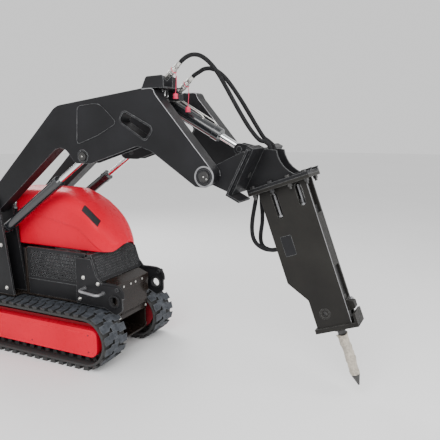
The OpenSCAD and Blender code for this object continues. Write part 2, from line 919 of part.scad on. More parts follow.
// Tube between the arms, with the lugs that carry the tilt cylinder's base
module arm_cross_tube() {
    lug_y = tilt_barrel_r + 4;
    lug_t = 12;
    web = unit(tilt_base - cross_tube_c);
    side = [-web[1], web[0]];
    color("#17181a") {
        difference() {
            bar_y(cross_tube_c, cross_tube_r, -arm_in, arm_in);
            bar_y(cross_tube_c, cross_tube_r - 8, -arm_in - 1, arm_in + 1);
        }
        both_sides() {
            difference() {
                union() {
                    plate_y([
                        cross_tube_c - side * 40, tilt_base - side * 34,
                        tilt_base + side * 34, cross_tube_c + side * 40
                    ], lug_y, lug_y + lug_t);
                    bar_y(tilt_base, 34, lug_y, lug_y + lug_t);
                }
                bar_y(cross_tube_c, cross_tube_r - 4, 0, lug_y + 20);
            }
            bar_y(tilt_base, 20, eye_hw + stub_gap, lug_y + 1);
        }
    }
}

// Shelf over the right arm that carries the quick couplers
module coupler_bracket() {
    shelf_z = 1919 + gap;
    shelf_t = 8;
    color("#17181a") {
        block([262, -arm_out, shelf_z], [340, -110, shelf_z + shelf_t]);
        block([339, -arm_out, shelf_z], [421, -110, shelf_z + shelf_t]);
        block([262, -111, shelf_z], [350, -30, shelf_z + shelf_t]);
        plate_y(rounded([
            [262, shelf_z + 1, 0], [421, shelf_z + 1, 0], [419, 1996, 14], [295, 1990, 20]
        ]), -arm_out, 8 - arm_out);
        difference() {
            block([343, coupler_a[1] - 28, shelf_z + 1], [423, coupler_a[1] + 28, 2001]);
            bar_along([coupler_a[0], coupler_a[2]], coupler_a[1], coupler_rise, 40, 0, 200);
        }
        difference() {
            block([320, coupler_b[1] - 28, shelf_z - 70], [400, coupler_b[1] + 28, shelf_z + 1]);
            bar_along([coupler_b[0], coupler_b[2]], coupler_b[1], coupler_rise, 40, 0, 200);
        }
    }
}

module coupler(p) {
    color("silver")
        translate(p)
            rotate([0, 90 - coupler_rise, 0]) {
                cylinder(h = 34, r = 17, $fn = 6);
                translate([0, 0, 33])
                    cylinder(h = 50, r = 21);
                translate([0, 0, 82])
                    cylinder(h = 30, r = 17);
                translate([0, 0, 111])
                    cylinder(h = coupler_len - 111, r = 14, $fn = 6);
            }
}

module couplers() {
    coupler(coupler_a);
    coupler(coupler_b);
}

// Caps that hang on tethers from the couplers
module dust_cap(p) {
    top = p + coupler_dir * 70 + 23 * [sin(coupler_rise), 0, -cos(coupler_rise)];
    color("crimson") {
        tube([top, top + [6, -4, -40], top + [4, -6, -90], top + [0, -6, -125]], 3, 8);
        translate(top + [0, -6, -160])
            cylinder(h = 38, r = 17);
    }
}

module dust_caps() {
    dust_cap(coupler_a);
    dust_cap(coupler_b);
}

module arm_pins() {
    color("silver")
        both_sides() {
            bar_y(mount_pivot, arm_pin_r, arm_in - 34, arm_out);
            bar_y(mount_pivot, arm_pin_r + 12, arm_out, arm_out + 7);
            bar_y(lift_eye, arm_pin_r - 4, arm_in, arm_out);
            bar_y(lift_eye, arm_pin_r + 6, arm_out, arm_out + 7);
        }
}

// ---- Cylinders ----

// Rod with its eye at c and its piston towards the base
module cylinder_rod(c, y, angle, rod, bore, length, pin) {
    piston_len = 30;
    difference() {
        union() {
            color("#d8dadc")
                bar_along(c, y, angle, rod, eye_r - 4, length - piston_len + 1);
            color("gray")
                bar_along(c, y, angle, bore - run_fit, length - piston_len, length);
            color("#17181a")
                bar_y(c, eye_r, y - eye_hw, y + eye_hw);
        }
        bar_y(c, pin + run_fit, y - 60, y + 60);
    }
}

// Barrel with its eye at c, a neck that passes the base's pins, and its gland towards the rod
module cylinder_barrel(c, y, angle, outer, rod, length) {
    floor_at = eye_r + neck_len + 6;
    color("#111214")
        difference() {
            union() {
                bar_y(c, eye_r, y - eye_hw, y + eye_hw);
                bar_along(c, y, angle, eye_hw - 2, 0, floor_at - 1);
                bar_along(c, y, angle, outer, eye_r + neck_len, length - gland_len + 1);
                bar_along(c, y, angle, outer + 3, length - gland_len, length);
            }
            bar_along(c, y, angle, outer - barrel_wall, floor_at, length - gland_len);
            bar_along(c, y, angle, rod + run_fit, floor_at, length + 1);
            bar_y(c, 18, y - 60, y + 60);
        }
}

module lift_rods() {
    both_sides()
        cylinder_rod(lift_eye, arm_y, lift_angle, lift_rod_r, lift_barrel_r - barrel_wall,
            lift_rod_len, arm_pin_r - 4);
}

module lift_barrels() {
    both_sides()
        cylinder_barrel(lift_base, arm_y, lift_angle + 180, lift_barrel_r, lift_rod_r, lift_barrel_len);
}

module tilt_rod() {
    cylinder_rod(tilt_eye, 0, tilt_angle, tilt_rod_r, tilt_barrel_r - barrel_wall, tilt_rod_len, tilt_pin_r);
}

module tilt_barrel() {
    cylinder_barrel(tilt_base, 0, tilt_angle + 180, tilt_barrel_r, tilt_rod_r, tilt_barrel_len);
}

// ---- Loader mount plate ----

// x on the plate is out of the receiver's front face, z is up along it
module mount_plate() {
    rear = -receiver_t - seat_gap;
    web = receiver_t + seat_gap + mount_t / 2;
    ear_y = [arm_in - 34, arm_in - 6];
    lug_y = [eye_hw + 6, eye_hw + 18];
    color("#17181a")
        difference() {
            union() {
                on_receiver() {
                    block([rear - mount_t, -mount_hw, 8], [rear, mount_hw, plate_len - 2]);
                    both_sides() {
                        block([rear - mount_t, 130, -16], [70, mount_hw, -4]);
                        block([rear - mount_t, 130, -16], [rear, mount_hw, 9]);
                    }
                }
                both_sides() {
                    plate_y([
                        mount_pivot + [-7, -55], seat(-14, web + 20), seat(0, web),
                        seat(plate_len - 30, web), seat(plate_len - 44, web + 50), mount_pivot + [3, 53]
                    ], ear_y[0], ear_y[1]);
                    bar_y(mount_pivot, 56, ear_y[0], ear_y[1]);
                    plate_y([
                        tilt_eye + [4, -37], seat(110, web), seat(plate_len - 8, web), tilt_eye + [12, 36]
                    ], lug_y[0], lug_y[1]);
                    bar_y(tilt_eye, 38, lug_y[0], lug_y[1]);
                    bar_y(tilt_eye, 30, eye_hw + gap, lug_y[0] + 1);
                }
                bar_y(tilt_eye, tilt_pin_r, -lug_y[1] - 6, lug_y[1] + 6);
            }
            both_sides() {
                bar_y(mount_pivot, arm_pin_r + run_fit, ear_y[0] - 1, ear_y[1] + 1);
                on_receiver()
                    translate([rear - mount_t - 1, lever_y, lever_at])
                        rotate([0, 90, 0])
                            cylinder(h = mount_t + 2, r = lever_r);
            }
        }
}

// Lever, shaft and cam that hold the receiver down
module lock_lever() {
    rear = -receiver_t - seat_gap - mount_t;
    color("silver")
        on_receiver() {
            translate([rear - 20, lever_y, lever_at])
                rotate([0, 90, 0])
                    cylinder(h = mount_t + 20.2, r = lever_r - run_fit);
            translate([rear + mount_t, lever_y, lever_at])
                rotate([0, 90, 0])
                    cylinder(h = receiver_t - 1, r = lever_r + 4);
            block([rear - 22, lever_y - 18, lever_at - 18], [rear - 8, lever_y + 18, lever_at + 18]);
            block([rear - 20, lever_y - 7, lever_at + 10], [rear - 10, lever_y + 7, lever_at + lever_len]);
        }
}

module left_lock_lever() {
    lock_lever();
}

module right_lock_lever() {
    mirror([0, 1, 0])
        lock_lever();
}

// ---- Attachment bracket ----

// Gusset in side view, with the hollow curve of its top
function gusset_outline() = concat(
    [[862, 1288], [896, 1273], [1282, 1414], [1287, 1448]],
    [for (a = [250:-10:190]) at([1240, 1570], a, 178) + [0, (250 - a) * 0.05]],
    [[1042, 1545], [999, 1548], [982, 1542]]
);

module attachment_bracket() {
    plate_z = cheek_top + flange_t;
    color("#17181a") {
        on_receiver() {
            difference() {
                block([-receiver_t, -receiver_hw, 0], [0, receiver_hw, plate_len]);
                both_sides()
                    translate([-receiver_t - 1, lever_y, lever_at])
                        rotate([0, 90, 0])
                            cylinder(h = receiver_t + 2, r = lever_r + 6);
            }
            both_sides() {
                block([-receiver_t - mount_t - 8, hose_lane + 20, plate_len - 0.5],
                    [0, receiver_hw, plate_len + 12]);
                block([-receiver_t - mount_t - 14, hose_lane + 20, plate_len - 20],
                    [-receiver_t - mount_t - 4, receiver_hw, plate_len + 12]);
            }
        }
        leaning()
            difference() {
                block([flange_rear, -flange_hw, plate_z], [flange_front, flange_hw, plate_z + flange_t]);
                block([flange_rear - 1, 4 - hose_lane, plate_z - 1],
                    [lane_front, hose_lane - 4, plate_z + flange_t + 1]);
                both_sides()
                    for (t = flange_bolt_t)
                        translate([t, flange_hw - 22, plate_z - 1])
                            cylinder(h = flange_t + 2, r = 10.5);
            }
        both_sides()
            plate_y(gusset_outline(), gusset_y[0], gusset_y[1]);
    }
}

module flange_bolts() {
    low = cheek_top - 20;
    color("silver")
        leaning()
            both_sides()
                for (t = flange_bolt_t)
                    translate([t, flange_hw - 22, 0]) {
                        translate([0, 0, low - 13])
                            cylinder(h = 2 * flange_t + 46, r = 9);
                        translate([0, 0, low + 2])
                            cylinder(h = 18 - gap, r = 16, $fn = 6);
                        translate([0, 0, cheek_top + 2 * flange_t + gap])
                            cylinder(h = 14, r = 16, $fn = 6);
                    }
}

// ---- Breaker ----

function cheek_outline() = [
    [cheek_step, cheek_foot, 0], [cheek_front, cheek_foot, 0], [cheek_front, cheek_top, 0],
    [cheek_rear, cheek_top, 0], [cheek_rear, 265, 20], [cheek_step, 130, 20]
];

// Slot with round ends, centred on t, from z0 to z1
function slot_outline(t, z0, z1, r) = [
    [t - r, z0, r - 0.1], [t + r, z0, r - 0.1], [t + r, z1, r - 0.1], [t - r, z1, r - 0.1]
];

module breaker_housing() {
    color("#17181a")
        leaning() {
            both_sides()
                difference() {
                    plate_y(rounded(cheek_outline()), breaker_hw - cheek_t, breaker_hw);
                    plate_y(rounded(slot_outline(1420, 670, 844, 20)), 0, breaker_hw + 1);
                    plate_y(rounded(slot_outline(1585, 712, 854, 22)), 0, breaker_hw + 1);
                    bar_y(retainer, 35, 0, breaker_hw + 1);
                }
            difference() {
                block([flange_rear, -flange_hw, cheek_top],
                    [flange_front, flange_hw, cheek_top + flange_t]);
                block([flange_rear - 1, 4 - hose_lane, cheek_top - 1],
                    [lane_front, hose_lane - 4, cheek_top + flange_t + 1]);
                both_sides()
                    for (t = flange_bolt_t)
                        translate([t, flange_hw - 22, cheek_top - 1])
                            cylinder(h = flange_t + 2, r = 10.5);
            }
            block([cheek_front - 14, cheek_t - breaker_hw, 300], [cheek_front, breaker_hw - cheek_t, 640]);
            plate_y(rounded([
                [cheek_front, 10, 0], [cheek_front + 40, 16, 8],
                [cheek_front + 40, 60, 12], [cheek_front, 78, 0]
            ]), -26, 26);
            block([cheek_front - 10, cheek_t - breaker_hw, 8], [cheek_front, breaker_hw - cheek_t, 80]);
        }
}

module breaker_cylinder() {
    color("#3c3f43")
        leaning()
            difference() {
                union() {
                    block([body_rear, -body_hw, head_top + gap], [cheek_front - 15, body_hw, cylinder_top]);
                    block([body_rear + 20, -body_hw, cylinder_top - 1],
                        [cheek_front - 40, body_hw, cylinder_top + 60]);
                }
                translate([chisel_t, 0, head_top - 1])
                    cylinder(h = cylinder_top - head_top - 40, r = bore_r);
            }
}

module front_head() {
    color("#3c3f43")
        leaning()
            difference() {
                block([body_rear, -body_hw, cheek_foot + gap], [cheek_front - 11, body_hw, head_top]);
                translate([chisel_t, 0, cheek_foot - 1])
                    cylinder(h = 300, r = chisel_r + run_fit);
                bar_y(retainer, retainer_r + run_fit, -100, 100);
            }
}

module piston() {
    strike = chisel_top + chisel_travel + gap;
    color("silver")
        leaning()
            translate([chisel_t, 0, 0]) {
                translate([0, 0, strike])
                    cylinder(h = 130, r = chisel_r - 2);
                translate([0, 0, strike + 129])
                    cylinder(h = 160, r = piston_r);
            }
}

module retainer_pin() {
    color("#2f3134")
        leaning()
            difference() {
                union() {
                    bar_y(retainer, retainer_r, -body_hw, body_hw);
                    both_sides()
                        bar_y(retainer, 34, body_hw, breaker_hw - 4);
                }
                both_sides()
                    bar_y(retainer, 12, breaker_hw - 12, breaker_hw);
            }
}

// Plate under the housing, with a lip turned up at its front
module bottom_guard() {
    top = cheek_foot - gap;
    rear = cheek_step - 18;
    front = cheek_front + 38;
    hw = breaker_hw + 10;
    color("#17181a")
        leaning()
            difference() {
                union() {
                    block([rear, -hw, top - guard_t], [front, hw, top]);
                    block([front - 16, -hw, top - 1], [front, hw, top + 56]);
                    translate([chisel_t, 0, top - guard_t - 16])
                        cylinder(h = 17, r = chisel_r + 16);
                }
                translate([chisel_t, 0, top - guard_t - 20])
                    cylinder(h = guard_t + 40, r = chisel_r + 1.5);
            }
}

module chisel() {
    foot = cheek_foot - guard_t - chisel_reach;
    cone = 64;
    notch = [retainer[1] - retainer_r - chisel_travel - 2, retainer[1] + retainer_r + 0.5];
    color("#1b1b1d")
        leaning()
            difference() {
                translate([chisel_t, 0, 0]) {
                    translate([0, 0, foot + cone])
                        cylinder(h = chisel_top - foot - cone, r = chisel_r);
                    translate([0, 0, foot])
                        cylinder(h = cone, r1 = 5, r2 = chisel_r);
                }
                block([chisel_t - 40, -40, notch[0]], [retainer[0] + retainer_r + 0.5, 40, notch[1]]);
            }
}

module port_fittings() {
    color("silver")
        leaning()
            for (i = [0, 1]) {
                y = (2 * i - 1) * port_y;
                translate([port_reach[i], y, port_z])
                    rotate([0, 90, 0])
                        cylinder(h = body_rear - port_reach[i], r = 10);
                translate([body_rear - 34, y, port_z])
                    rotate([0, 90, 0])
                        cylinder(h = 20, r = 17, $fn = 6);
                translate([port_reach[i], y, port_z])
                    rotate([0, 90, 0])
                        cylinder(h = 26, r = 15);
            }
}

module breaker_hoses() {
    color("#111111") {
        tube(hose_a, hose_r);
        tube(hose_b, hose_r);
    }
}

main_frame();
front_plate();
tie_down_plates();
front_screen();
side_panels();
arm_towers();
engine();
radiator();
hydraulic_pump();
fuel_tank();
hydraulic_tank();
counterweight();
rear_cowl();
thigh_pad();
operator_platform();
hand_rails();
track_frames();
track_guards();
left_track_belt();
right_track_belt();
tower_pins();
hood();
cooling_fan();
left_drive_lever();
right_drive_lever();
loader_lever();
throttle_lever();
left_sprocket();
right_sprocket();
left_idler();
right_idler();
left_front_roller();
left_rear_roller();
right_front_roller();
right_rear_roller();
left_loader_arm();
right_loader_arm();
arm_cross_tube();
coupler_bracket();
couplers();
dust_caps();
arm_pins();
lift_rods();
lift_barrels();
tilt_rod();
tilt_barrel();
mount_plate();
left_lock_lever();
right_lock_lever();
attachment_bracket();
breaker_housing();
breaker_cylinder();
front_head();
piston();
retainer_pin();
bottom_guard();
chisel();
port_fittings();
flange_bolts();
breaker_hoses();
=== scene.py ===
"""Looks of a compact tracked loader with raised arms that carry a hydraulic breaker.

Metres. +X is forward, +Y is the machine's left, +Z is up. The origin is on the ground,
under the front of the tracks.
"""
import sys
import logging
import math
from collections.abc import Sequence
from dataclasses import dataclass, field
from enum import Enum

import bmesh
import bpy
import numpy as np
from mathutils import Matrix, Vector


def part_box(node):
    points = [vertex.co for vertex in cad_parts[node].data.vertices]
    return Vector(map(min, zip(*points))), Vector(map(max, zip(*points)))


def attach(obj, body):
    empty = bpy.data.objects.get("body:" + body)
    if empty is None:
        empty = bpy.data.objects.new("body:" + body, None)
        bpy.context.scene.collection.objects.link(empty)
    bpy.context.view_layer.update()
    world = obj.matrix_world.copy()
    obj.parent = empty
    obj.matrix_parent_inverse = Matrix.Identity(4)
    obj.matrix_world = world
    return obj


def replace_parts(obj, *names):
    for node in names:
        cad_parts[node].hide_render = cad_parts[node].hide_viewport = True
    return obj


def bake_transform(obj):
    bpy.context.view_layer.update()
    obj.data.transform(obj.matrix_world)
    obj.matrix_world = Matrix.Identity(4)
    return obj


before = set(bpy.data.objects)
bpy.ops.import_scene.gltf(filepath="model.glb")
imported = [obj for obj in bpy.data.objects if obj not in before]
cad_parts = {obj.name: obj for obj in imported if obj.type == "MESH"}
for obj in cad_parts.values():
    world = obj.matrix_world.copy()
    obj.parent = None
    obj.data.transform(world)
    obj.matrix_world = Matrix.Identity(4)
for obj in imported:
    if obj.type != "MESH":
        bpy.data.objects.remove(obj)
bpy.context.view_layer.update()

Array = np.ndarray
Colour = tuple[float, float, float]
Point = tuple[float, float, float]
LOG = logging.getLogger("loader")
TURN = 2 * math.pi
SIDES = ((1, "left"), (-1, "right"))


# ---- Shapes worked out with arrays ----


def mm(*rows: Sequence[float] | float) -> Array:
    """Numbers or rows of numbers in millimetres, turned into metres."""
    return np.array(rows, float) / 1000


def sized(*rows: Sequence[float] | float) -> Array:
    """A dataclass field that holds numbers given in millimetres."""
    return field(default_factory=lambda: mm(*rows))


def rect(x0: float, z0: float, x1: float, z1: float) -> Array:
    """Corners of an upright rectangle given in millimetres."""
    return mm((x0, z0), (x1, z0), (x1, z1), (x0, z1))


def unit(vectors: Array) -> Array:
    """The same directions with length one.

    Args:
        vectors: directions in the last axis.

    Returns:
        Each direction divided by its length.
    """
    vectors = np.asarray(vectors, float)
    return vectors / np.linalg.norm(vectors, axis=-1, keepdims=True)


def smooth(route: Array, steps: int) -> Array:
    """A Catmull-Rom curve through the points of a route.

    Each span is the cubic through its two ends whose slopes are half the distance between
    the points on either side.

    Args:
        route: the points that the curve passes through.
        steps: samples in each span.

    Returns:
        The curve's points, the route's own points among them.
    """
    p = np.vstack([2 * route[0] - route[1], route, 2 * route[-1] - route[-2]])
    t = np.linspace(0, 1, steps, endpoint=False)[:, None, None]
    a, b, c, d = p[:-3], p[1:-2], p[2:-1], p[3:]
    span = 2 * b + (c - a) * t + (2 * a - 5 * b + 4 * c - d) * t**2 + (3 * b - 3 * c + d - a) * t**3
    return np.vstack([span.transpose(1, 0, 2).reshape(-1, route.shape[1]) / 2, route[-1:]])


def circle(radius: float | Array, sides: int) -> Array:
    """Points of a circle, or of one circle for each radius.

    Args:
        radius: one radius, or an array of them.
        sides: points round the circle.

    Returns:
        Radius times cosine and sine of the angle, in the last axis.
    """
    a = np.arange(sides) * TURN / sides
    return np.asarray(radius, float)[..., None, None] * np.stack([np.cos(a), np.sin(a)], -1)


def sweep(path: Array, outline: Array, up: Point = (0, 1, 0.001)) -> Array:
    """An outline carried along a path.

    Each ring is the path's point plus the outline's first number along the side, which is
    square to the path and to up, and its second number along the top, square to both.

    Args:
        path: points of the path.
        outline: offsets (side, top), the same for all rings or one set for each.
        up: a direction that the path never follows.

    Returns:
        One ring of points for each point of the path.
    """
    along = unit(np.gradient(path, axis=0))
    side = unit(np.cross(np.asarray(up, float), along))
    top = np.cross(along, side)
    return path[:, None] + outline[..., :1] * side[:, None] + outline[..., 1:] * top[:, None]


def offset(outline: Array, distance: float) -> Array:
    """An anticlockwise outline moved inwards.

    Each corner moves along the sum of its two edges' inward normals.

    Args:
        outline: corners of the outline.
        distance: how far each edge moves.

    Returns:
        The corners after the move.
    """
    edge = unit(np.roll(outline, -1, 0) - outline)
    normal = np.stack([-edge[:, 1], edge[:, 0]], -1)
    before = np.roll(normal, 1, 0)
    share = 1 + np.sum(before * normal, -1, keepdims=True)
    return outline + (before + normal) * distance / share


def fillet(corners: Array, radius: float, steps: int = 5) -> Array:
    """An outline with each corner rounded by a quadratic curve.

    The curve leaves one edge and joins the next at the radius from the corner.

    Args:
        corners: corners of a closed outline.
        radius: how far from the corner the curve starts.
        steps: spans of each curve.

    Returns:
        The rounded outline.
    """
    back = corners + radius * unit(np.roll(corners, 1, 0) - corners)
    on = corners + radius * unit(np.roll(corners, -1, 0) - corners)
    t = np.linspace(0, 1, steps + 1)[None, :, None]
    curve = (1 - t) ** 2 * back[:, None] + 2 * t * (1 - t) * corners[:, None] + t**2 * on[:, None]
    return curve.reshape(-1, corners.shape[1])


def ripple(u: Array, v: Array, seed: int, waves: int = 7) -> Array:
    """Smooth uneven height over two parameters, about -1 to 1.

    The sum of sines with seeded directions and phases, each weaker than the one before.

    Args:
        u: first parameter.
        v: second parameter.
        seed: chooses the directions and phases.
        waves: how many sines are summed.

    Returns:
        The height at each pair.
    """
    draw = np.random.default_rng(seed)
    k = np.arange(1, waves + 1)
    fu, fv = draw.uniform(-1, 1, waves) * k, draw.uniform(-1, 1, waves) * k
    phase = draw.uniform(0, TURN, waves)
    terms = np.sin(u[..., None] * fu + v[..., None] * fv + phase) / k**0.7
    return terms.sum(-1) / np.sum(1 / k**0.7) * 2


class Shell:
    """Surfaces gathered for one piece."""

    def __init__(self) -> None:
        """Starts with no surface."""
        self.points: list[Array] = []
        self.faces: list[Array] = []
        self.flows: list[Array] = []
        self.slots: list[Array] = []
        self.count = 0

    def add(self, points: Array, faces: Array, slot: int = 0, flow: Array | None = None) -> None:
        """Adds faces of one size.

        Args:
            points: the vertices.
            faces: vertex numbers, one row a face.
            slot: number of the finish.
            flow: place of each corner on the surface, in metres along and round it.
        """
        faces = np.asarray(faces, int)
        self.points.append(np.asarray(points, float).reshape(-1, 3))
        self.faces.append(faces + self.count)
        self.slots.append(np.full(len(faces), slot))
        self.flows.append(np.zeros((*faces.shape, 2)) if flow is None else flow)
        self.count += len(self.points[-1])

    def grid(self, p: Array, close_u: bool = False, close_v: bool = False, slot: int = 0,
             size: tuple[float, float] = (1, 1)) -> None:
        """Adds a surface given on a grid of two parameters.

        Args:
            p: points, first parameter in the first axis.
            close_u: whether the first parameter comes round.
            close_v: whether the second parameter comes round.
            slot: number of the finish.
            size: lengths that the flow runs over in the two directions.
        """
        nu, nv = p.shape[:2]
        cu, cv = nu - 1 + close_u, nv - 1 + close_v
        i, j = np.meshgrid(np.arange(cu), np.arange(cv), indexing="ij")
        ci, cj = np.stack([i, i, i + 1, i + 1], -1), np.stack([j, j + 1, j + 1, j], -1)
        faces = (ci % nu) * nv + cj % nv
        flow = np.stack([ci / cu * size[0], cj / cv * size[1]], -1)
        self.add(p, faces.reshape(-1, 4), slot, flow.reshape(-1, 4, 2))

    def tube(self, path: Array, outline: Array, up: Point = (0, 1, 0.001), slot: int = 0) -> None:
        """Adds an outline carried along a path, closed at both ends.

        Args:
            path: points of the path.
            outline: offsets (side, top).
            up: a direction that the path never follows.
            slot: number of the finish.
        """
        rings = sweep(path, outline, up)
        length = np.linalg.norm(np.diff(path, axis=0), axis=1).sum()
        girth = np.linalg.norm(np.diff(rings[0], axis=0), axis=1).sum()
        self.grid(rings, close_v=True, slot=slot, size=(length, girth))
        for ring in (rings[0][::-1], rings[-1]):
            self.add(ring, np.arange(len(ring))[None], slot)

    def hoop(self, path: Array, outline: Array, up: Point = (0, 1, 0.001), slot: int = 0) -> None:
        """Adds an outline carried round a closed path.

        Args:
            path: points of the path, the last one joined to the first.
            outline: offsets (side, top).
            up: a direction that the path never follows.
            slot: number of the finish.
        """
        rings = sweep(np.vstack([path[-1:], path, path[:1]]), outline, up)[1:-1]
        self.grid(rings, close_u=True, close_v=True, slot=slot)

    def lathe(self, profile: Sequence[tuple[float, float]], centre: Point, axis: Point,
              sides: int = 32, slot: int = 0, turn: float = 0) -> None:
        """Adds a profile turned about an axis.

        Args:
            profile: pairs of radius and height along the axis; radius 0 closes an end.
            centre: where height 0 is.
            axis: direction of growing height.
            sides: points round the axis.
            slot: number of the finish.
            turn: angle of the first point.
        """
        r, h = np.asarray(profile, float).T
        axis = unit(np.asarray(axis, float))
        e1 = unit(np.cross(axis, (0.0, 0.0, 1.0) if abs(axis[2]) < 0.9 else (1.0, 0.0, 0.0)))
        e2 = np.cross(axis, e1)
        a = turn + np.arange(sides) * TURN / sides
        spoke = np.cos(a)[:, None] * e1 + np.sin(a)[:, None] * e2
        p = np.asarray(centre, float) + h[:, None, None] * axis + r[:, None, None] * spoke
        self.grid(p, close_v=True, slot=slot, size=(float(np.ptp(h)) + 0.01, TURN * r.max()))

    def prism(self, outline: Array, y0: float, y1: float, slot: int = 0) -> None:
        """Adds a side view outline pulled out from y0 to y1.

        Args:
            outline: corners (x, z).
            y0: first plane.
            y1: second plane.
            slot: number of the finish.
        """
        ends = np.stack([np.insert(outline, 1, y, axis=1) for y in (y0, y1)])
        self.grid(ends, close_v=True, slot=slot)
        for end in ends:
            self.add(end, np.arange(len(end))[None], slot)

    def copies(self, points: Array, faces: Array, slot: int = 0) -> None:
        """Adds the same faces on many sets of points.

        Args:
            points: sets of vertices, one set in each row.
            faces: vertex numbers within a set.
            slot: number of the finish.
        """
        sets, each = points.shape[:2]
        faces = np.asarray(faces, int)
        rows = (faces[None] + (np.arange(sets) * each)[:, None, None]).reshape(-1, faces.shape[1])
        self.add(points, rows, slot)

    def bolt(self, centre: Point, axis: Point, radius: float = 0.009, slot: int = 0) -> None:
        """Adds a washer and a hexagon head that stand on a face.

        Args:
            centre: point on the face.
            axis: direction out of the face.
            radius: radius over the head's corners.
            slot: number of the finish.
        """
        r = radius
        washer = [(0, -0.001), (r * 1.45, -0.001), (r * 1.45, r * 0.16), (r * 1.35, r * 0.24), (0, r * 0.24)]
        self.lathe(washer, centre, axis, 24, slot)
        head = [(0, r * 0.2), (r, r * 0.2), (r, r * 0.85), (r * 0.84, r), (0, r)]
        self.lathe(head, centre, axis, 6, slot, turn=0.3)

    def build(self, name: str, finishes: "Sequence[Finish]", body: str | None, slot: str,
              bevel: float = 0, angle: float = 35, closed: bool = True) -> bpy.types.Object:
        """Makes the piece and lets it ride on its body.

        Args:
            name: name of the piece.
            finishes: finishes in the order of the slots.
            body: body that it rides on, or None to leave it unattached.
            slot: the record's material slot; not used.
            bevel: width of the bevel on sharp edges.
            angle: angle past which an edge is sharp, in degrees.
            closed: whether all surfaces are closed, so that normals can be turned outwards.

        Returns:
            The object.
        """
        mesh = bpy.data.meshes.new(name)
        faces = [row for block in self.faces for row in block.tolist()]
        mesh.from_pydata(np.concatenate(self.points).tolist(), [], faces)
        mesh.polygons.foreach_set("material_index", np.concatenate(self.slots).astype(np.int32))
        flow = np.concatenate([f.reshape(-1) for f in self.flows]).astype(np.float32)
        mesh.uv_layers.new(name="flow").uv.foreach_set("vector", flow)
        work = bmesh.new()
        work.from_mesh(mesh)
        bmesh.ops.remove_doubles(work, verts=work.verts, dist=1e-6)
        if closed:
            bmesh.ops.recalc_face_normals(work, faces=work.faces)
        work.to_mesh(mesh)
        work.free()
        mesh.shade_smooth()
        mesh.set_sharp_from_angle(angle=math.radians(angle))
        for finish in finishes:
            mesh.materials.append(finish.material())
        piece = bpy.data.objects.new(name, mesh)
        bpy.context.scene.collection.objects.link(piece)
        if bevel:
            soften(piece, bevel, angle)
        if body:
            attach(piece, body)
        LOG.info("%s: %d faces", name, len(faces))
        return piece


def soften(piece: bpy.types.Object, width: float, angle: float) -> None:
    """Rounds sharp edges and weights the normals by face area.

    Args:
        piece: the object.
        width: width of the bevel.
        angle: angle past which an edge is sharp, in degrees.
    """
    bevel = piece.modifiers.new("edges", "BEVEL")
    bevel.width, bevel.segments = width, 2
    bevel.limit_method, bevel.angle_limit = "ANGLE", math.radians(angle)
    bevel.miter_outer = "MITER_ARC"
    weight = piece.modifiers.new("normals", "WEIGHTED_NORMAL")
    weight.weight = 80


# ---- Finishes ----


class Relief(Enum):
    """How a finish is raised and sunk."""

    GRAIN = "fine even grain"
    CAST = "lumpy cast skin"
    BRUSHED = "fine turning marks"
    BRAID = "crossed strands of a woven sleeve"
    HIDE = "leather grain"
    CREASE = "crumpled film"


class Graph:
    """One material's nodes."""

    def __init__(self, name: str) -> None:
        """Makes the material.

        Args:
            name: name of the material.
        """
        self.material = bpy.data.materials.new(name)
        self.material.use_nodes = True
        self.tree = self.material.node_tree
        self.shader = self.tree.nodes["Principled BSDF"]

    def add(self, kind: str, inputs: dict | None = None, **settings: object) -> bpy.types.Node:
        """Adds a node.

        Args:
            kind: the node's type, without its common prefix.
            inputs: values or sockets for its inputs, by name or number.
            settings: properties of the node.

        Returns:
            The node.
        """
        node = self.tree.nodes.new("ShaderNode" + kind)
        for key, value in settings.items():
            setattr(node, key, value)
        for key, value in (inputs or {}).items():
            self.feed(node.inputs[key], value)
        return node

    def feed(self, socket: bpy.types.NodeSocket, value: object) -> None:
        """Links a socket to another one, or sets it to a value."""
        if isinstance(value, bpy.types.NodeSocket):
            self.tree.links.new(value, socket)
        else:
            socket.default_value = value

    def noise(self, place: object, scale: float, detail: float = 4) -> bpy.types.NodeSocket:
        """Clouds of the given number a metre."""
        node = self.add("TexNoise", {"Vector": place, "Scale": scale, "Detail": detail})
        return node.outputs["Fac"]

    def remap(self, value: object, low: float, high: float, to_low: float = 0,
              to_high: float = 1) -> bpy.types.NodeSocket:
        """Maps low..high to to_low..to_high, and holds it there."""
        node = self.add("MapRange", {0: value, 1: low, 2: high, 3: to_low, 4: to_high}, clamp=True)
        return node.outputs[0]

    def math(self, operation: str, a: object, b: object) -> bpy.types.NodeSocket:
        """One sum of two numbers."""
        return self.add("Math", {0: a, 1: b}, operation=operation).outputs[0]

    def mix(self, share: object, a: object, b: object) -> bpy.types.NodeSocket:
        """A colour between a and b."""
        full = [(*c, 1.0) if isinstance(c, tuple) else c for c in (a, b)]
        return self.add("Mix", {0: share, 6: full[0], 7: full[1]}, data_type="RGBA").outputs[2]


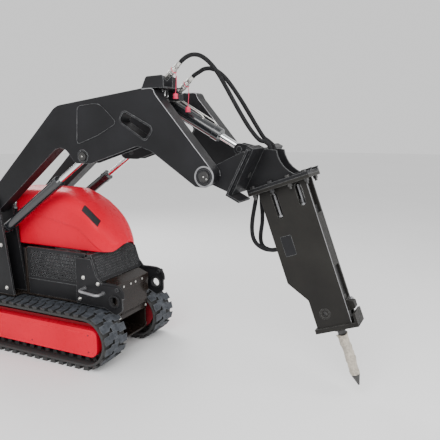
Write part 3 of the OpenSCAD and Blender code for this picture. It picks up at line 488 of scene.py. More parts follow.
@dataclass(frozen=True)
class Finish:
    """A finish with clouds of colour, uneven gloss, relief, edges lightened by wear and by a painted
    highlight, and dust.
    """

    name: str
    base: Colour
    shade: Colour
    rough: tuple[float, float] = (0.35, 0.5)
    metal: float = 0.0
    coat: float = 0.0
    shine: float = 0.5
    sheen: float = 0.0
    cloud: float = 5.0
    grain: float = 350.0
    depth: float = 0.12
    relief: Relief = Relief.GRAIN
    # Colour of the edges: partly wear, partly a painted highlight along lit edges.
    edge: Colour | None = None
    edge_width: float = 0.004
    dust: float = 0.0
    dust_colour: Colour = (0.20, 0.17, 0.14)

    def material(self) -> bpy.types.Material:
        """The material, made once."""
        found = bpy.data.materials.get(self.name)
        return found or self._make()

    def _make(self) -> bpy.types.Material:
        """Builds the nodes: colour, gloss and relief.

        Returns:
            The material.
        """
        g = Graph(self.name)
        place = g.add("TexCoord").outputs["Object"]
        clouds = g.noise(place, self.cloud, 6)
        colour = g.mix(g.remap(clouds, 0.35, 0.7), self.base, self.shade)
        streaks = g.noise(place, self.cloud * 11, 5)
        rough = g.remap(streaks, 0.3, 0.75, *self.rough)
        normal = g.add("NewGeometry").outputs["Normal"]
        if self.dust:
            rise = g.add("SeparateXYZ", {0: normal}).outputs["Z"]
            cover = g.math("MULTIPLY", g.remap(rise, 0.2, 0.95), g.remap(streaks, 0.4, 0.7, 0, self.dust))
            colour = g.mix(cover, colour, self.dust_colour)
            rough = g.math("ADD", rough, g.math("MULTIPLY", cover, 0.4))
        if self.edge:
            # Lighter edges: partly real wear, partly a painted highlight where edges catch the light.
            soft = g.add("Bevel", {"Radius": self.edge_width}, samples=4).outputs[0]
            dot = g.add("VectorMath", {0: soft, 1: normal}, operation="DOT_PRODUCT").outputs["Value"]
            edge_wear_and_highlight = g.math("MULTIPLY", g.remap(dot, 0.995, 0.93), g.remap(streaks, 0.3, 0.6, 0.25, 1))
            colour = g.mix(edge_wear_and_highlight, colour, self.edge)
        g.feed(g.shader.inputs["Base Color"], colour)
        g.feed(g.shader.inputs["Roughness"], rough)
        for socket, value in (("Metallic", self.metal), ("Coat Weight", self.coat),
                              ("Coat Roughness", 0.12), ("Sheen Weight", self.sheen),
                              ("Specular IOR Level", self.shine)):
            g.shader.inputs[socket].default_value = value
        bump = g.add("Bump", {"Strength": min(1.0, self.depth * 4), "Distance": self.depth / 100,
                              "Height": self._height(g, place)})
        g.feed(g.shader.inputs["Normal"], bump.outputs[0])
        return g.material

    def _height(self, g: Graph, place: object) -> bpy.types.NodeSocket:
        """The relief's height.

        Args:
            g: the material's nodes.
            place: socket with the point's place.

        Returns:
            A socket from 0 to 1.
        """
        if self.relief is Relief.BRAID:
            flow = g.add("UVMap", uv_map="flow").outputs[0]
            bands = []
            for lean in (0.9, -0.9):
                turned = g.add("Mapping", {0: flow, "Rotation": (0, 0, lean)}).outputs[0]
                wave = g.add("TexWave", {"Vector": turned, "Scale": self.grain / 3, "Distortion": 0.4})
                bands.append(wave.outputs["Fac"])
            return g.math("MAXIMUM", *bands)
        if self.relief is Relief.BRUSHED:
            long = g.add("Mapping", {0: place, "Scale": (1, 1, 0.04)}).outputs[0]
            return g.noise(long, self.grain, 3)
        if self.relief in (Relief.HIDE, Relief.CAST):
            cells = g.add("TexVoronoi", {"Vector": place, "Scale": self.grain}, feature="SMOOTH_F1")
            return g.math("ADD", cells.outputs["Distance"], g.noise(place, self.grain / 4, 5))
        if self.relief is Relief.CREASE:
            folds = g.math("ABSOLUTE", g.math("SUBTRACT", g.noise(place, self.grain, 3), 0.5), 0)
            return g.remap(folds, 0, 0.25)
        return g.noise(place, self.grain, 5)


# Edge colours in the finishes below are partly wear and partly a painted highlight on lit edges.
EDGE_WEAR_AND_HIGHLIGHT = (0.20, 0.205, 0.21)
BLACK = Finish("black_satin_paint", (0.010, 0.010, 0.011), (0.017, 0.017, 0.019), (0.34, 0.50), edge=EDGE_WEAR_AND_HIGHLIGHT,
               cloud=3, dust=0.06, shine=0.18)
TOOL_BLACK = Finish("tool_charcoal_paint", (0.014, 0.013, 0.012), (0.021, 0.020, 0.018), (0.40, 0.55),
                    edge=(0.13, 0.13, 0.125), edge_width=0.003, cloud=4, depth=0.16, shine=0.16)
FRAME = Finish("umber_gloss_paint", (0.013, 0.009, 0.0075), (0.020, 0.015, 0.0125), (0.18, 0.30), coat=0.08,
               edge=(0.08, 0.068, 0.06), cloud=3, depth=0.04, shine=0.15)
GLOSS = Finish("black_gloss_paint", (0.012, 0.013, 0.015), (0.018, 0.020, 0.023), (0.08, 0.2), coat=0.7,
               edge=(0.09, 0.09, 0.1), depth=0.05)
# Its edge colour, a brighter red than the paint, is a painted highlight.
RED = Finish("red_gloss_paint", (0.74, 0.003, 0.030), (0.64, 0.002, 0.022), (0.24, 0.36), coat=0.04, cloud=2,
             depth=0.03, edge=(0.85, 0.05, 0.09), edge_width=0.003, shine=0.08)
DARK_RED = Finish("dark_red_paint", (0.30, 0.008, 0.014), (0.18, 0.006, 0.010), (0.4, 0.6), dust=0.3)
RUBBER = Finish("track_rubber", (0.022, 0.024, 0.028), (0.050, 0.054, 0.060), (0.6, 0.85), cloud=14,
                grain=260, depth=0.4, dust=0.2, dust_colour=(0.10, 0.10, 0.105), shine=0.2)
TREAD = Finish("worn_tread_rubber", (0.030, 0.034, 0.041), (0.070, 0.077, 0.090), (0.5, 0.75), cloud=26,
               grain=300, depth=0.5, edge=(0.15, 0.16, 0.175), edge_width=0.003, shine=0.25)
IRON = Finish("wheel_iron", (0.030, 0.029, 0.028), (0.060, 0.052, 0.045), (0.5, 0.75), relief=Relief.CAST,
              grain=120, depth=0.3, dust=0.5)
ZINC = Finish("zinc_plate", (0.62, 0.61, 0.58), (0.48, 0.47, 0.45), (0.22, 0.4), metal=1.0, cloud=30,
              depth=0.06, edge=(0.8, 0.8, 0.78), edge_width=0.001)
CHROME = Finish("hard_chrome", (0.86, 0.87, 0.88), (0.78, 0.79, 0.80), (0.04, 0.1), metal=1.0, depth=0.01,
                relief=Relief.BRUSHED, grain=700)
STEEL = Finish("dark_forged_steel", (0.05, 0.05, 0.052), (0.09, 0.088, 0.085), (0.3, 0.5), metal=0.8,
               relief=Relief.CAST, grain=90, depth=0.15)
# Light steel: bare metal of rails and studs, and the colour of strips that paint a highlight on lit edges.
BARE_STEEL_AND_HIGHLIGHT = Finish("bare_steel_and_edge_highlight", (0.34, 0.34, 0.35), (0.22, 0.22, 0.23), (0.3, 0.5), metal=0.6, cloud=25)
ALLOY = Finish("cast_alloy", (0.26, 0.26, 0.265), (0.17, 0.17, 0.175), (0.45, 0.65), metal=0.7,
               relief=Relief.CAST, grain=160, depth=0.25)
PLASTIC = Finish("moulded_black_plastic", (0.014, 0.014, 0.015), (0.022, 0.022, 0.024), (0.45, 0.6),
                 relief=Relief.HIDE, grain=420, depth=0.2, shine=0.2)
CAP_RED = Finish("red_cap_plastic", (0.72, 0.03, 0.10), (0.55, 0.02, 0.07), (0.35, 0.5), depth=0.08)
SLEEVE = Finish("woven_hose_sleeve", (0.012, 0.012, 0.014), (0.028, 0.028, 0.032), (0.7, 0.9), sheen=0.04,
                shine=0.2, cloud=30, relief=Relief.BRAID, grain=900, depth=0.6)
VINYL = Finish("pad_vinyl", (0.016, 0.016, 0.017), (0.024, 0.023, 0.023), (0.4, 0.55), relief=Relief.HIDE,
               grain=300, depth=0.25, sheen=0.05, shine=0.2)
WRAP = Finish("crumpled_wrap", (0.62, 0.56, 0.47), (0.42, 0.38, 0.32), (0.45, 0.7), cloud=24,
              relief=Relief.CREASE, grain=60, depth=0.9)
FLOOR = Finish("studio_floor", (0.90, 0.90, 0.90), (0.88, 0.88, 0.88), (0.7, 0.8), cloud=0.6, depth=0.01)


def dress(finish: Finish, bevel: float, *nodes: str) -> None:
    """Gives CAD nodes their finish, rounded edges and smooth curves.

    Args:
        finish: the finish.
        bevel: width of the bevel on sharp edges.
        nodes: names of the CAD nodes.
    """
    for name in nodes:
        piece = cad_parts[name]
        piece.data.materials.clear()
        piece.data.materials.append(finish.material())
        piece.data.polygons.foreach_set("use_smooth", np.ones(len(piece.data.polygons), bool))
        weld = piece.modifiers.new("weld", "WELD")
        weld.merge_threshold = 1e-5
        soften(piece, bevel, 25)


# ---- Camera and light ----


@dataclass
class Studio:
    """Pale floor, soft light and the camera."""

    eye: Point = (2.2, -3.23, 1.70)
    heading: float = math.radians(25.7)
    pitch: float = math.radians(10.06)
    lens: float = 44.26
    lamps: tuple[tuple[Point, Point, float, float], ...] = (
        ((1.2, -4.2, 4.4), (-0.3, 0, 0.8), 3.4, 210),
        ((4.6, -0.6, 3.0), (0.2, 0, 1.0), 3.0, 120),
        ((-3.6, 2.8, 3.8), (-0.5, 0, 1.0), 3.0, 150),
    )

    def camera(self) -> None:
        """Places the camera at its eye, turned left by its heading and down by its pitch."""
        data = bpy.data.cameras.new("camera")
        data.lens = self.lens
        camera = bpy.data.objects.new("camera", data)
        camera.location = self.eye
        camera.rotation_euler = (math.pi / 2 - self.pitch, 0, self.heading)
        bpy.context.scene.collection.objects.link(camera)
        bpy.context.scene.camera = camera

    def light(self) -> None:
        """Hangs the soft lamps and sets the pale surroundings."""
        for i, (place, aim, size, power) in enumerate(self.lamps):
            data = bpy.data.lights.new(f"lamp_{i}", "AREA")
            data.shape, data.size, data.energy = "SQUARE", size, power
            lamp = bpy.data.objects.new(f"lamp_{i}", data)
            lamp.location = place
            back = unit(np.subtract(place, aim))
            lamp.rotation_euler = (math.acos(back[2]), 0, math.atan2(back[0], -back[1]))
            bpy.context.scene.collection.objects.link(lamp)
        world = bpy.data.worlds.new("studio")
        world.use_nodes = True
        world.node_tree.nodes["Background"].inputs[0].default_value = (1, 1, 1, 1)
        world.node_tree.nodes["Background"].inputs[1].default_value = 1.0
        bpy.context.scene.world = world

    def floor(self) -> None:
        """Lays a pale disc under the machine."""
        mesh = bpy.data.meshes.new("floor")
        ring = circle(30.0, 96)
        mesh.from_pydata([(x, y, -0.0005) for x, y in ring.tolist()], [], [list(range(96))])
        mesh.materials.append(FLOOR.material())
        floor = bpy.data.objects.new("floor", mesh)
        bpy.context.scene.collection.objects.link(floor)


# ---- Places shared with the CAD ----


LEAN = math.radians(20.1)
MOUNT_PIVOT = (0.697, 1.385)
ARM_PIVOT = (-1.100, 1.100)
LIFT_BASE = (-1.050, 0.900)
LIFT_EYE = (-0.221, 1.485)
TILT_BASE = (0.230, 1.851)
TILT_EYE = (0.803, 1.542)
ARM_OUT = 0.330
ARM_IN = 0.230
COUPLERS = ((0.363, -0.195, 1.987), (0.385, -0.075, 1.907))
COUPLER_RISE = math.radians(41.8)


def leaning(points: Array) -> Array:
    """Points from the breaker's own frame to the machine's.

    The frame is turned about Y: x is t cos lean - z sin lean, and z is t sin lean + z cos lean.

    Args:
        points: (t forward, y left, z up along the tool).

    Returns:
        The same points in the machine's frame.
    """
    t, y, z = np.moveaxis(np.asarray(points, float), -1, 0)
    c, s = math.cos(LEAN), math.sin(LEAN)
    return np.stack([t * c - z * s, y, t * s + z * c], -1)


LEAN_UP = leaning((0, 0, 1))
LEAN_FRONT = leaning((1, 0, 0))


@dataclass
class Hoses:
    """Two sleeved hoses from the couplers to the breaker's ports."""

    radius: float = 0.0135
    coupler_len: float = 0.138
    seat_gap: float = 0.0003
    lead: float = 0.016
    ports: tuple[Point, Point] = ((1.330, -0.024, 0.487), (1.272, 0.024, 0.487))
    routes: tuple[Array, Array] = field(default_factory=lambda: (
        np.array([
            [506, -191, 2109], [542, -182, 2122], [586, -169, 2117], [632, -154, 2087], [682, -128, 2025],
            [736, -100, 1925], [792, -75, 1816], [850, -53, 1712], [900, -40, 1640], [940, -33, 1600],
            [975, -31, 1590], [1004, -31, 1565], [1010, -31, 1522], [995, -31, 1470], [968, -31, 1410],
            [945, -31, 1350], [930, -31, 1300], [920, -31, 1250], [910, -31, 1190], [896, -30, 1110],
            [890, -29, 1040], [898, -28, 975], [926, -26, 930], [975, -25, 905], [1030, -24, 901]]) / 1000,
        np.array([
            [532, -75, 2026], [568, -72, 2044], [612, -65, 2046], [656, -55, 2028], [702, -42, 1988],
            [750, -26, 1924], [800, -8, 1846], [850, 8, 1762], [898, 20, 1682], [940, 28, 1618],
            [975, 31, 1592], [1004, 31, 1565], [1010, 31, 1522], [995, 31, 1470], [968, 31, 1410],
            [945, 31, 1350], [932, 31, 1300], [928, 31, 1250], [932, 31, 1190], [938, 30, 1128],
            [938, 29, 1062], [930, 28, 998], [932, 26, 942], [952, 25, 906], [985, 24, 893]]) / 1000,
    ))

    def path(self, i: int) -> Array:
        """The smooth line of one hose.

        Args:
            i: 0 for the hose on the right, 1 for the other.

        Returns:
            Points from the coupler's end to the port's end.
        """
        out = np.array([math.cos(COUPLER_RISE), 0, math.sin(COUPLER_RISE)])
        start = np.array(COUPLERS[i]) + out * (self.coupler_len + self.seat_gap)
        t, y, z = self.ports[i]
        end = leaning((t - self.seat_gap, y, z))
        into = LEAN_FRONT
        knots = [start, start + out * (self.lead - self.seat_gap), *self.routes[i], end - into * self.lead,
                 end]
        return smooth(np.array(knots), 6)

    def build(self) -> None:
        hoses = []
        for i, name in enumerate(("hose_right", "hose_left")):
            path = self.path(i)
            run = np.r_[0, np.cumsum(np.linalg.norm(np.diff(path, axis=0), axis=1))]
            swell = 1 - 0.035 * (0.5 + 0.5 * ripple(run * 70, run * 0, 11 + i))
            shell = Shell()
            shell.tube(path, circle(self.radius * swell, 20))
            hose = shell.build(name, [SLEEVE], None, "hose_rubber")
            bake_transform(hose)
            hoses.append(hose)
        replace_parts(hoses[0], "breaker_hoses")


# ---- Tracks ----


@dataclass
class Track:
    """A rubber belt with staggered Z lugs and guide teeth, round its idler and sprocket.

    The lugs' outline gives shares of the pitch and distances from the belt's middle.
    """

    side: int
    name: str
    gauge: float = 0.320
    axle_z: float = 0.200
    idler_x: float = -0.200
    base: float = 0.950
    ref: float = 0.178
    inner: float = 0.160
    lug: float = 0.022
    count: int = 40
    rail: float = 0.045
    band: Array = sized((-120, 171), (-116, 177.9), (116, 177.9), (120, 171), (120, 165), (117, 160.5),
                        (-117, 160.5), (-120, 165))
    tooth: Array = sized((-18, -7), (18, -7), (18, 7), (-18, 7))
    z_lug: tuple[tuple[float, float], ...] = (
        (0.02, 0.117), (0.02, 0.050), (0.20, 0.044), (0.22, -0.013), (0.66, -0.013), (0.68, 0.054),
        (0.52, 0.060), (0.50, 0.117))

    @property
    def pitch(self) -> float:
        """Distance between lugs along the belt."""
        return (2 * self.base + TURN * self.ref) / self.count

    def loop(self, s: Array, lateral: Array, r: Array) -> Array:
        """Points on the loop: two straight runs joined by two half circles.

        Args:
            s: distance along the loop, from under the sprocket forwards.
            lateral: distance from the belt's middle, outwards.
            r: distance from the line between the axles.

        Returns:
            The points.
        """
        s, lateral, r = np.broadcast_arrays(s, lateral, r)
        half = math.pi * self.ref
        q = s % (2 * (self.base + half))
        legs = [q < self.base, q < self.base + half, q < 2 * self.base + half]
        front = (q - self.base) / self.ref - math.pi / 2
        rear = (q - 2 * self.base - half) / self.ref + math.pi / 2
        sprocket_x = self.idler_x - self.base
        x = np.select(legs, [sprocket_x + q, self.idler_x + r * np.cos(front),
                             self.idler_x - (q - self.base - half)], sprocket_x + r * np.cos(rear))
        z = np.select(legs, [-r, r * np.sin(front), r], r * np.sin(rear)) + self.axle_z
        return np.stack([x, self.side * (self.gauge + lateral), z], -1)

    def blocks(self, shell: Shell, outline: Array, levels: Sequence[tuple[float, float]], shift: float,
               crest_slot: int) -> None:
        """Adds one block to each pitch.

        Args:
            shell: the belt.
            outline: corners (distance along, lateral).
            levels: pairs of radius and inset, from the foot to the crest.
            shift: share of the pitch that the row starts at.
            crest_slot: number of the crest's finish.
        """
        n = len(outline)
        rings = np.stack([offset(outline, inset) for _, inset in levels])
        radii = np.array([r for r, _ in levels])[None, :, None]
        start = ((np.arange(self.count) + shift) * self.pitch)[:, None, None]
        points = self.loop(start + rings[..., 0], rings[None, ..., 1], radii).reshape(self.count, -1, 3)
        k, ring = np.arange(n), np.arange(len(levels) - 1)[:, None] * n
        a, b = ring + k, ring + (k + 1) % n
        shell.copies(points, np.stack([a, b, b + n, a + n], -1).reshape(-1, 4))
        shell.copies(points, (k + (len(levels) - 1) * n)[None], crest_slot)

    def build(self) -> None:
        """Makes the belt in place of its plain solid."""
        shell = Shell()
        s = np.linspace(0, self.count * self.pitch, self.count * 6, endpoint=False)[:, None]
        shell.grid(self.loop(s, *self.band.T[:, None]), True, True)
        lug, crest = np.array(self.z_lug) * (self.pitch, 1), self.ref + self.lug
        levels = [(self.ref - 0.002, -0.004), (self.ref + 0.004, 0), (crest - 0.004, 0.003),
                  (crest - 0.0005, 0.0065)]
        self.blocks(shell, lug[::-1], levels, 0.5, 1)
        self.blocks(shell, lug * (1, -1), levels, 0, 1)
        levels = [(self.inner + 0.002, 0), (self.inner - 0.018, 0.001), (self.inner - 0.027, 0.005)]
        for rail in (-self.rail, self.rail):
            self.blocks(shell, self.tooth + (0.02, rail), levels, 0, 0)
        belt = shell.build(self.name, [RUBBER, TREAD], "chassis", "track_rubber", angle=28)
        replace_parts(belt, self.name.replace("rubber", "track"))


@dataclass
class TrackTrim:
    """Bolts of the guards and seal rings of the wheels. Wheels give name, x and seal radius in mm."""

    guard_y: float = 0.4355
    bolts: Array = sized((-155, 140), (-155, 262), (-675, 140), (-1195, 140), (-1195, 262))
    wheels: tuple[tuple[str, float, float], ...] = (("idler", -0.200, 46), ("sprocket", -1.150, 52))
    gauge: float = 0.320
    axle_z: float = 0.200
    wheel_half: float = 0.0302

    def build(self) -> None:
        """Bolts the guards on and closes each hub with a seal ring on both faces."""
        for side, name in SIDES:
            guard = Shell()
            for x, z in self.bolts:
                guard.bolt((x, side * self.guard_y, z), (0, side, 0), 0.006)
            guard.build(name + "_guard_bolts", [STEEL], "chassis", "wheel_iron")
            for wheel, x, r in self.wheels:
                hub = Shell()
                for s in (-1, 1):
                    hub.lathe(mm((20, 0), (r, 0), (r, 1.2), (r - 3, 3), (22, 3), (20, 0)),
                              (x, side * self.gauge + s * self.wheel_half, self.axle_z), (0, s, 0), 40)
                hub.build(f"{name}_{wheel}_seal", [IRON], f"{name}_{wheel}", "wheel_iron")


# ---- Hood ----


@dataclass
class Hood:
    """Bonnet with a rounded nose, a soft shoulder and a crease low on each side."""

    rear: float = -0.996
    tip: float = -0.109
    nose_r: float = 0.200
    straight: float = 0.62
    half: float = 0.1985
    foot: float = 0.791
    lip: float = 0.840
    lip_start: float = -0.160
    wall: float = 0.0035
    level: float = 0.35
    side_start: float = 0.70
    shoulder: tuple[float, float] = (0.085, 0.105)
    crown: float = 0.014
    top: Array = sized((-996, 1222), (-800, 1226.5), (-640, 1226.5), (-563, 1220.5), (-470, 1187),
                       (-380, 1142), (-310, 1089), (-246, 1031), (-195, 973), (-151, 918), (-122, 883),
                       (-109, 856))
    crease: Array = sized((-409, 957), (-246, 826))
    step: float = 0.007
    hinge: tuple[float, float] = (-1.012, 1.085)

    def surface(self, u: Array, v: Array, lift: float = 0) -> Array:
        """The outer skin.

        At each station along the hood a vertical side rises to a shoulder, a quarter ellipse,
        and then runs level with a little crown to the middle. Stations close up towards the
        nose as the cosine of their angle, and the plan there is a half circle.

        Args:
            u: 0 at the rear to 1 at the tip.
            v: -1 at the right foot over 0 at the middle to 1 at the left foot.
            lift: distance out of the skin, along z and y.

        Returns:
            The points.
        """
        knee = self.tip - self.nose_r
        nose = np.clip((u - self.straight) / (1 - self.straight), 0, 1) * math.pi / 2
        x = np.where(u < self.straight, self.rear + (knee - self.rear) * u / self.straight,
                     knee + self.nose_r * np.sin(nose))
        wide = np.maximum(self.half * np.cos(nose) ** 0.8, 0.0004)
        high = np.interp(x, *self.top.T)
        rise = np.clip((x - self.lip_start) / (self.tip - self.lip_start), 0, 1) ** 2
        low = self.foot + (self.lip - self.foot) * rise
        round_y = np.minimum(self.shoulder[0], 0.75 * wide)
        round_z = np.minimum(self.shoulder[1], 0.72 * np.maximum(high - low, 0.001))
        m = np.abs(v)
        across = np.clip(m / self.level, 0, 1)
        turn = np.clip((m - self.level) / (self.side_start - self.level), 0, 1) * math.pi / 2
        y = (wide - round_y) * across + round_y * np.sin(turn)
        z = high - self.crown * wide / self.half * across**2 - round_z * (1 - np.cos(turn))
        z = z - np.clip((m - self.side_start) / (1 - self.side_start), 0, 1) * (z - low)
        (ax, az), (bx, bz) = self.crease
        line = az + (bz - az) / (bx - ax) * (x - ax) * np.where(x > ax, 1.0, 0.25)
        below = np.clip((line - z) / 0.012, 0, 1)
        side = np.clip((m - 0.5) / 0.2, 0, 1) * np.clip(wide / self.half * 2 - 1, 0, 1)
        y = (y - self.step * side * below * below * (3 - 2 * below) + lift * np.sin(turn)) * np.sign(v)
        return np.stack(np.broadcast_arrays(x, y, z + lift * np.cos(turn)), -1)

    def badge(self) -> None:
        """A blank plate on the right of the slope: a patch of the skin, lifted off it."""
        shell = Shell()
        u, v = np.linspace(0.560, 0.700, 24)[:, None], -np.linspace(0.430, 0.560, 14)[None, :]
        faces = self.surface(u, v, -0.001), self.surface(u, v, 0.0035)
        for face in faces[::-1]:
            shell.grid(face)
        rim = [np.concatenate([p[:, 0], p[-1, 1:], p[-2::-1, -1], p[0, -2:0:-1]]) for p in faces]
        shell.grid(np.stack(rim), close_v=True)
        shell.build("hood_badge", [PLASTIC], "hood", "black_plastic", bevel=0.0012)

    def hinges(self) -> None:
        """Two lugs behind the hood, each with a barrel round the hinge line."""
        shell = Shell()
        for side in (-1, 1):
            y0 = min(side * 0.1555, side * 0.1745)
            shell.prism(fillet(rect(-1012, 1077, -990, 1093), 0.003), y0, y0 + 0.019)
            shell.lathe(mm((7.5, 0), (12.5, 0), (12.5, 19), (7.5, 19), (7.5, 0)),
                        (self.hinge[0], y0, self.hinge[1]), (0, 1, 0), 28)
        shell.build("hood_hinges", [BLACK], "hood", "black_paint", bevel=0.0006)

    def build(self) -> None:
        """Makes the skin, its hinges, rear flange and badge in place of the plain solid."""
        shell = Shell()
        u = np.r_[np.linspace(0, self.straight, 40), np.linspace(self.straight, 1, 45)[1:]][:, None]
        side = np.linspace(self.side_start, 1, 34)
        v = np.r_[-side[::-1], np.linspace(-self.side_start, self.side_start, 56)[1:-1], side][None, :]
        shell.grid(self.surface(u, v)[:, ::-1])
        skin = shell.build("hood_skin", [RED], "hood", "red_paint", angle=60, closed=False)
        wall = skin.modifiers.new("wall", "SOLIDIFY")
        wall.thickness, wall.offset = self.wall, -1
        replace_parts(skin, "hood")
        self.hinges()
        rear = Shell()
        back = self.surface(np.zeros((1, 1)), v)[0]
        inner = back * (1, 0.82, 1)
        inner[:, 2] = np.minimum(inner[:, 2], back[:, 2].max() - 0.045)
        rear.grid(np.stack([back + (0.0005, 0, 0), inner + (0.0005, 0, 0), inner + (0.004, 0, 0)]))
        rear.build("hood_rear_flange", [RED], "hood", "red_paint")
        self.badge()


# ---- Chassis ----


@dataclass
class Perforated:
    """A sheet with rows of round holes, each row set off by half a pitch.

    The corner is the sheet's lower one, where the directions along and up start.
    """

    name: str
    corner: Point
    along: Point
    up: Point
    columns: int
    rows: int
    pitch: float
    hole: float
    margin: tuple[float, float]
    thick: float = 0.003

    def spread(self, flat: Array, depth: float) -> Array:
        """Places flat points on the sheet.

        Args:
            flat: points, measured from the corner of the first cell.
            depth: distance behind the sheet's face.

        Returns:
            The points in the machine's frame.
        """
        e1, e2 = unit(self.along), unit(self.up)
        flat = flat + self.margin
        return self.corner + flat[..., :1] * e1 + flat[..., 1:] * e2 - depth * np.cross(e1, e2)

    def borders(self, width: float, height: float) -> Array:
        """The plain rectangles round the cells.

        Args:
            width: length of a row, with its half pitch.
            height: height of all rows.

        Returns:
            Four corners of each.
        """
        (mx, mz), a = self.margin, self.pitch
        areas = [(-mx, -mz, width + mx, 0), (-mx, height, width + mx, height + mz), (-mx, 0, 0, height),
                 (width, 0, width + mx, height)]
        for row in range(self.rows):
            x0 = 0 if row % 2 else width - a / 2
            areas.append((x0, row * a, x0 + a / 2, (row + 1) * a))
        x0, z0, x1, z1 = np.array(areas).T
        return np.stack([x0, z0, x1, z0, x1, z1, x0, z1], -1).reshape(-1, 4, 2)

    def build(self) -> None:
        """Makes the sheet: square cells round eight-sided holes, plain borders and both faces."""
        a, n = self.pitch, 8
        square = np.array([(1, 0), (1, 1), (0, 1), (-1, 1), (-1, 0), (-1, -1), (0, -1), (1, -1)]) * a / 2
        j, i = np.meshgrid(np.arange(self.rows), np.arange(self.columns), indexing="ij")
        middle = np.stack([(i + 0.5 + 0.5 * (j % 2)) * a, (j + 0.5) * a], -1).reshape(-1, 1, 2)
        cells = np.concatenate([middle + square, middle + circle(self.hole, n)], 1)
        k = np.arange(n)
        after = (k + 1) % n
        quads = np.stack([k, after, after + n, k + n], -1)
        width, height = (self.columns + 0.5) * a, self.rows * a
        boxes = self.borders(width, height)
        shell = Shell()
        for depth, order in ((0.0, 1), (self.thick, -1)):
            shell.copies(self.spread(cells, depth), quads[:, ::order])
            shell.copies(self.spread(boxes, depth), np.arange(4)[None, ::order])
        holes = [self.spread(cells[:, n:], depth) for depth in (0.0, self.thick)]
        shell.copies(np.concatenate(holes, 1), quads)
        mx, mz = self.margin
        rim = np.array([(-mx, -mz), (width + mx, -mz), (width + mx, height + mz), (-mx, height + mz)])
        shell.grid(np.stack([self.spread(rim, self.thick), self.spread(rim, 0.0)]), close_v=True)
        shell.build(self.name, [BLACK], "chassis", "black_paint", closed=False, angle=20)


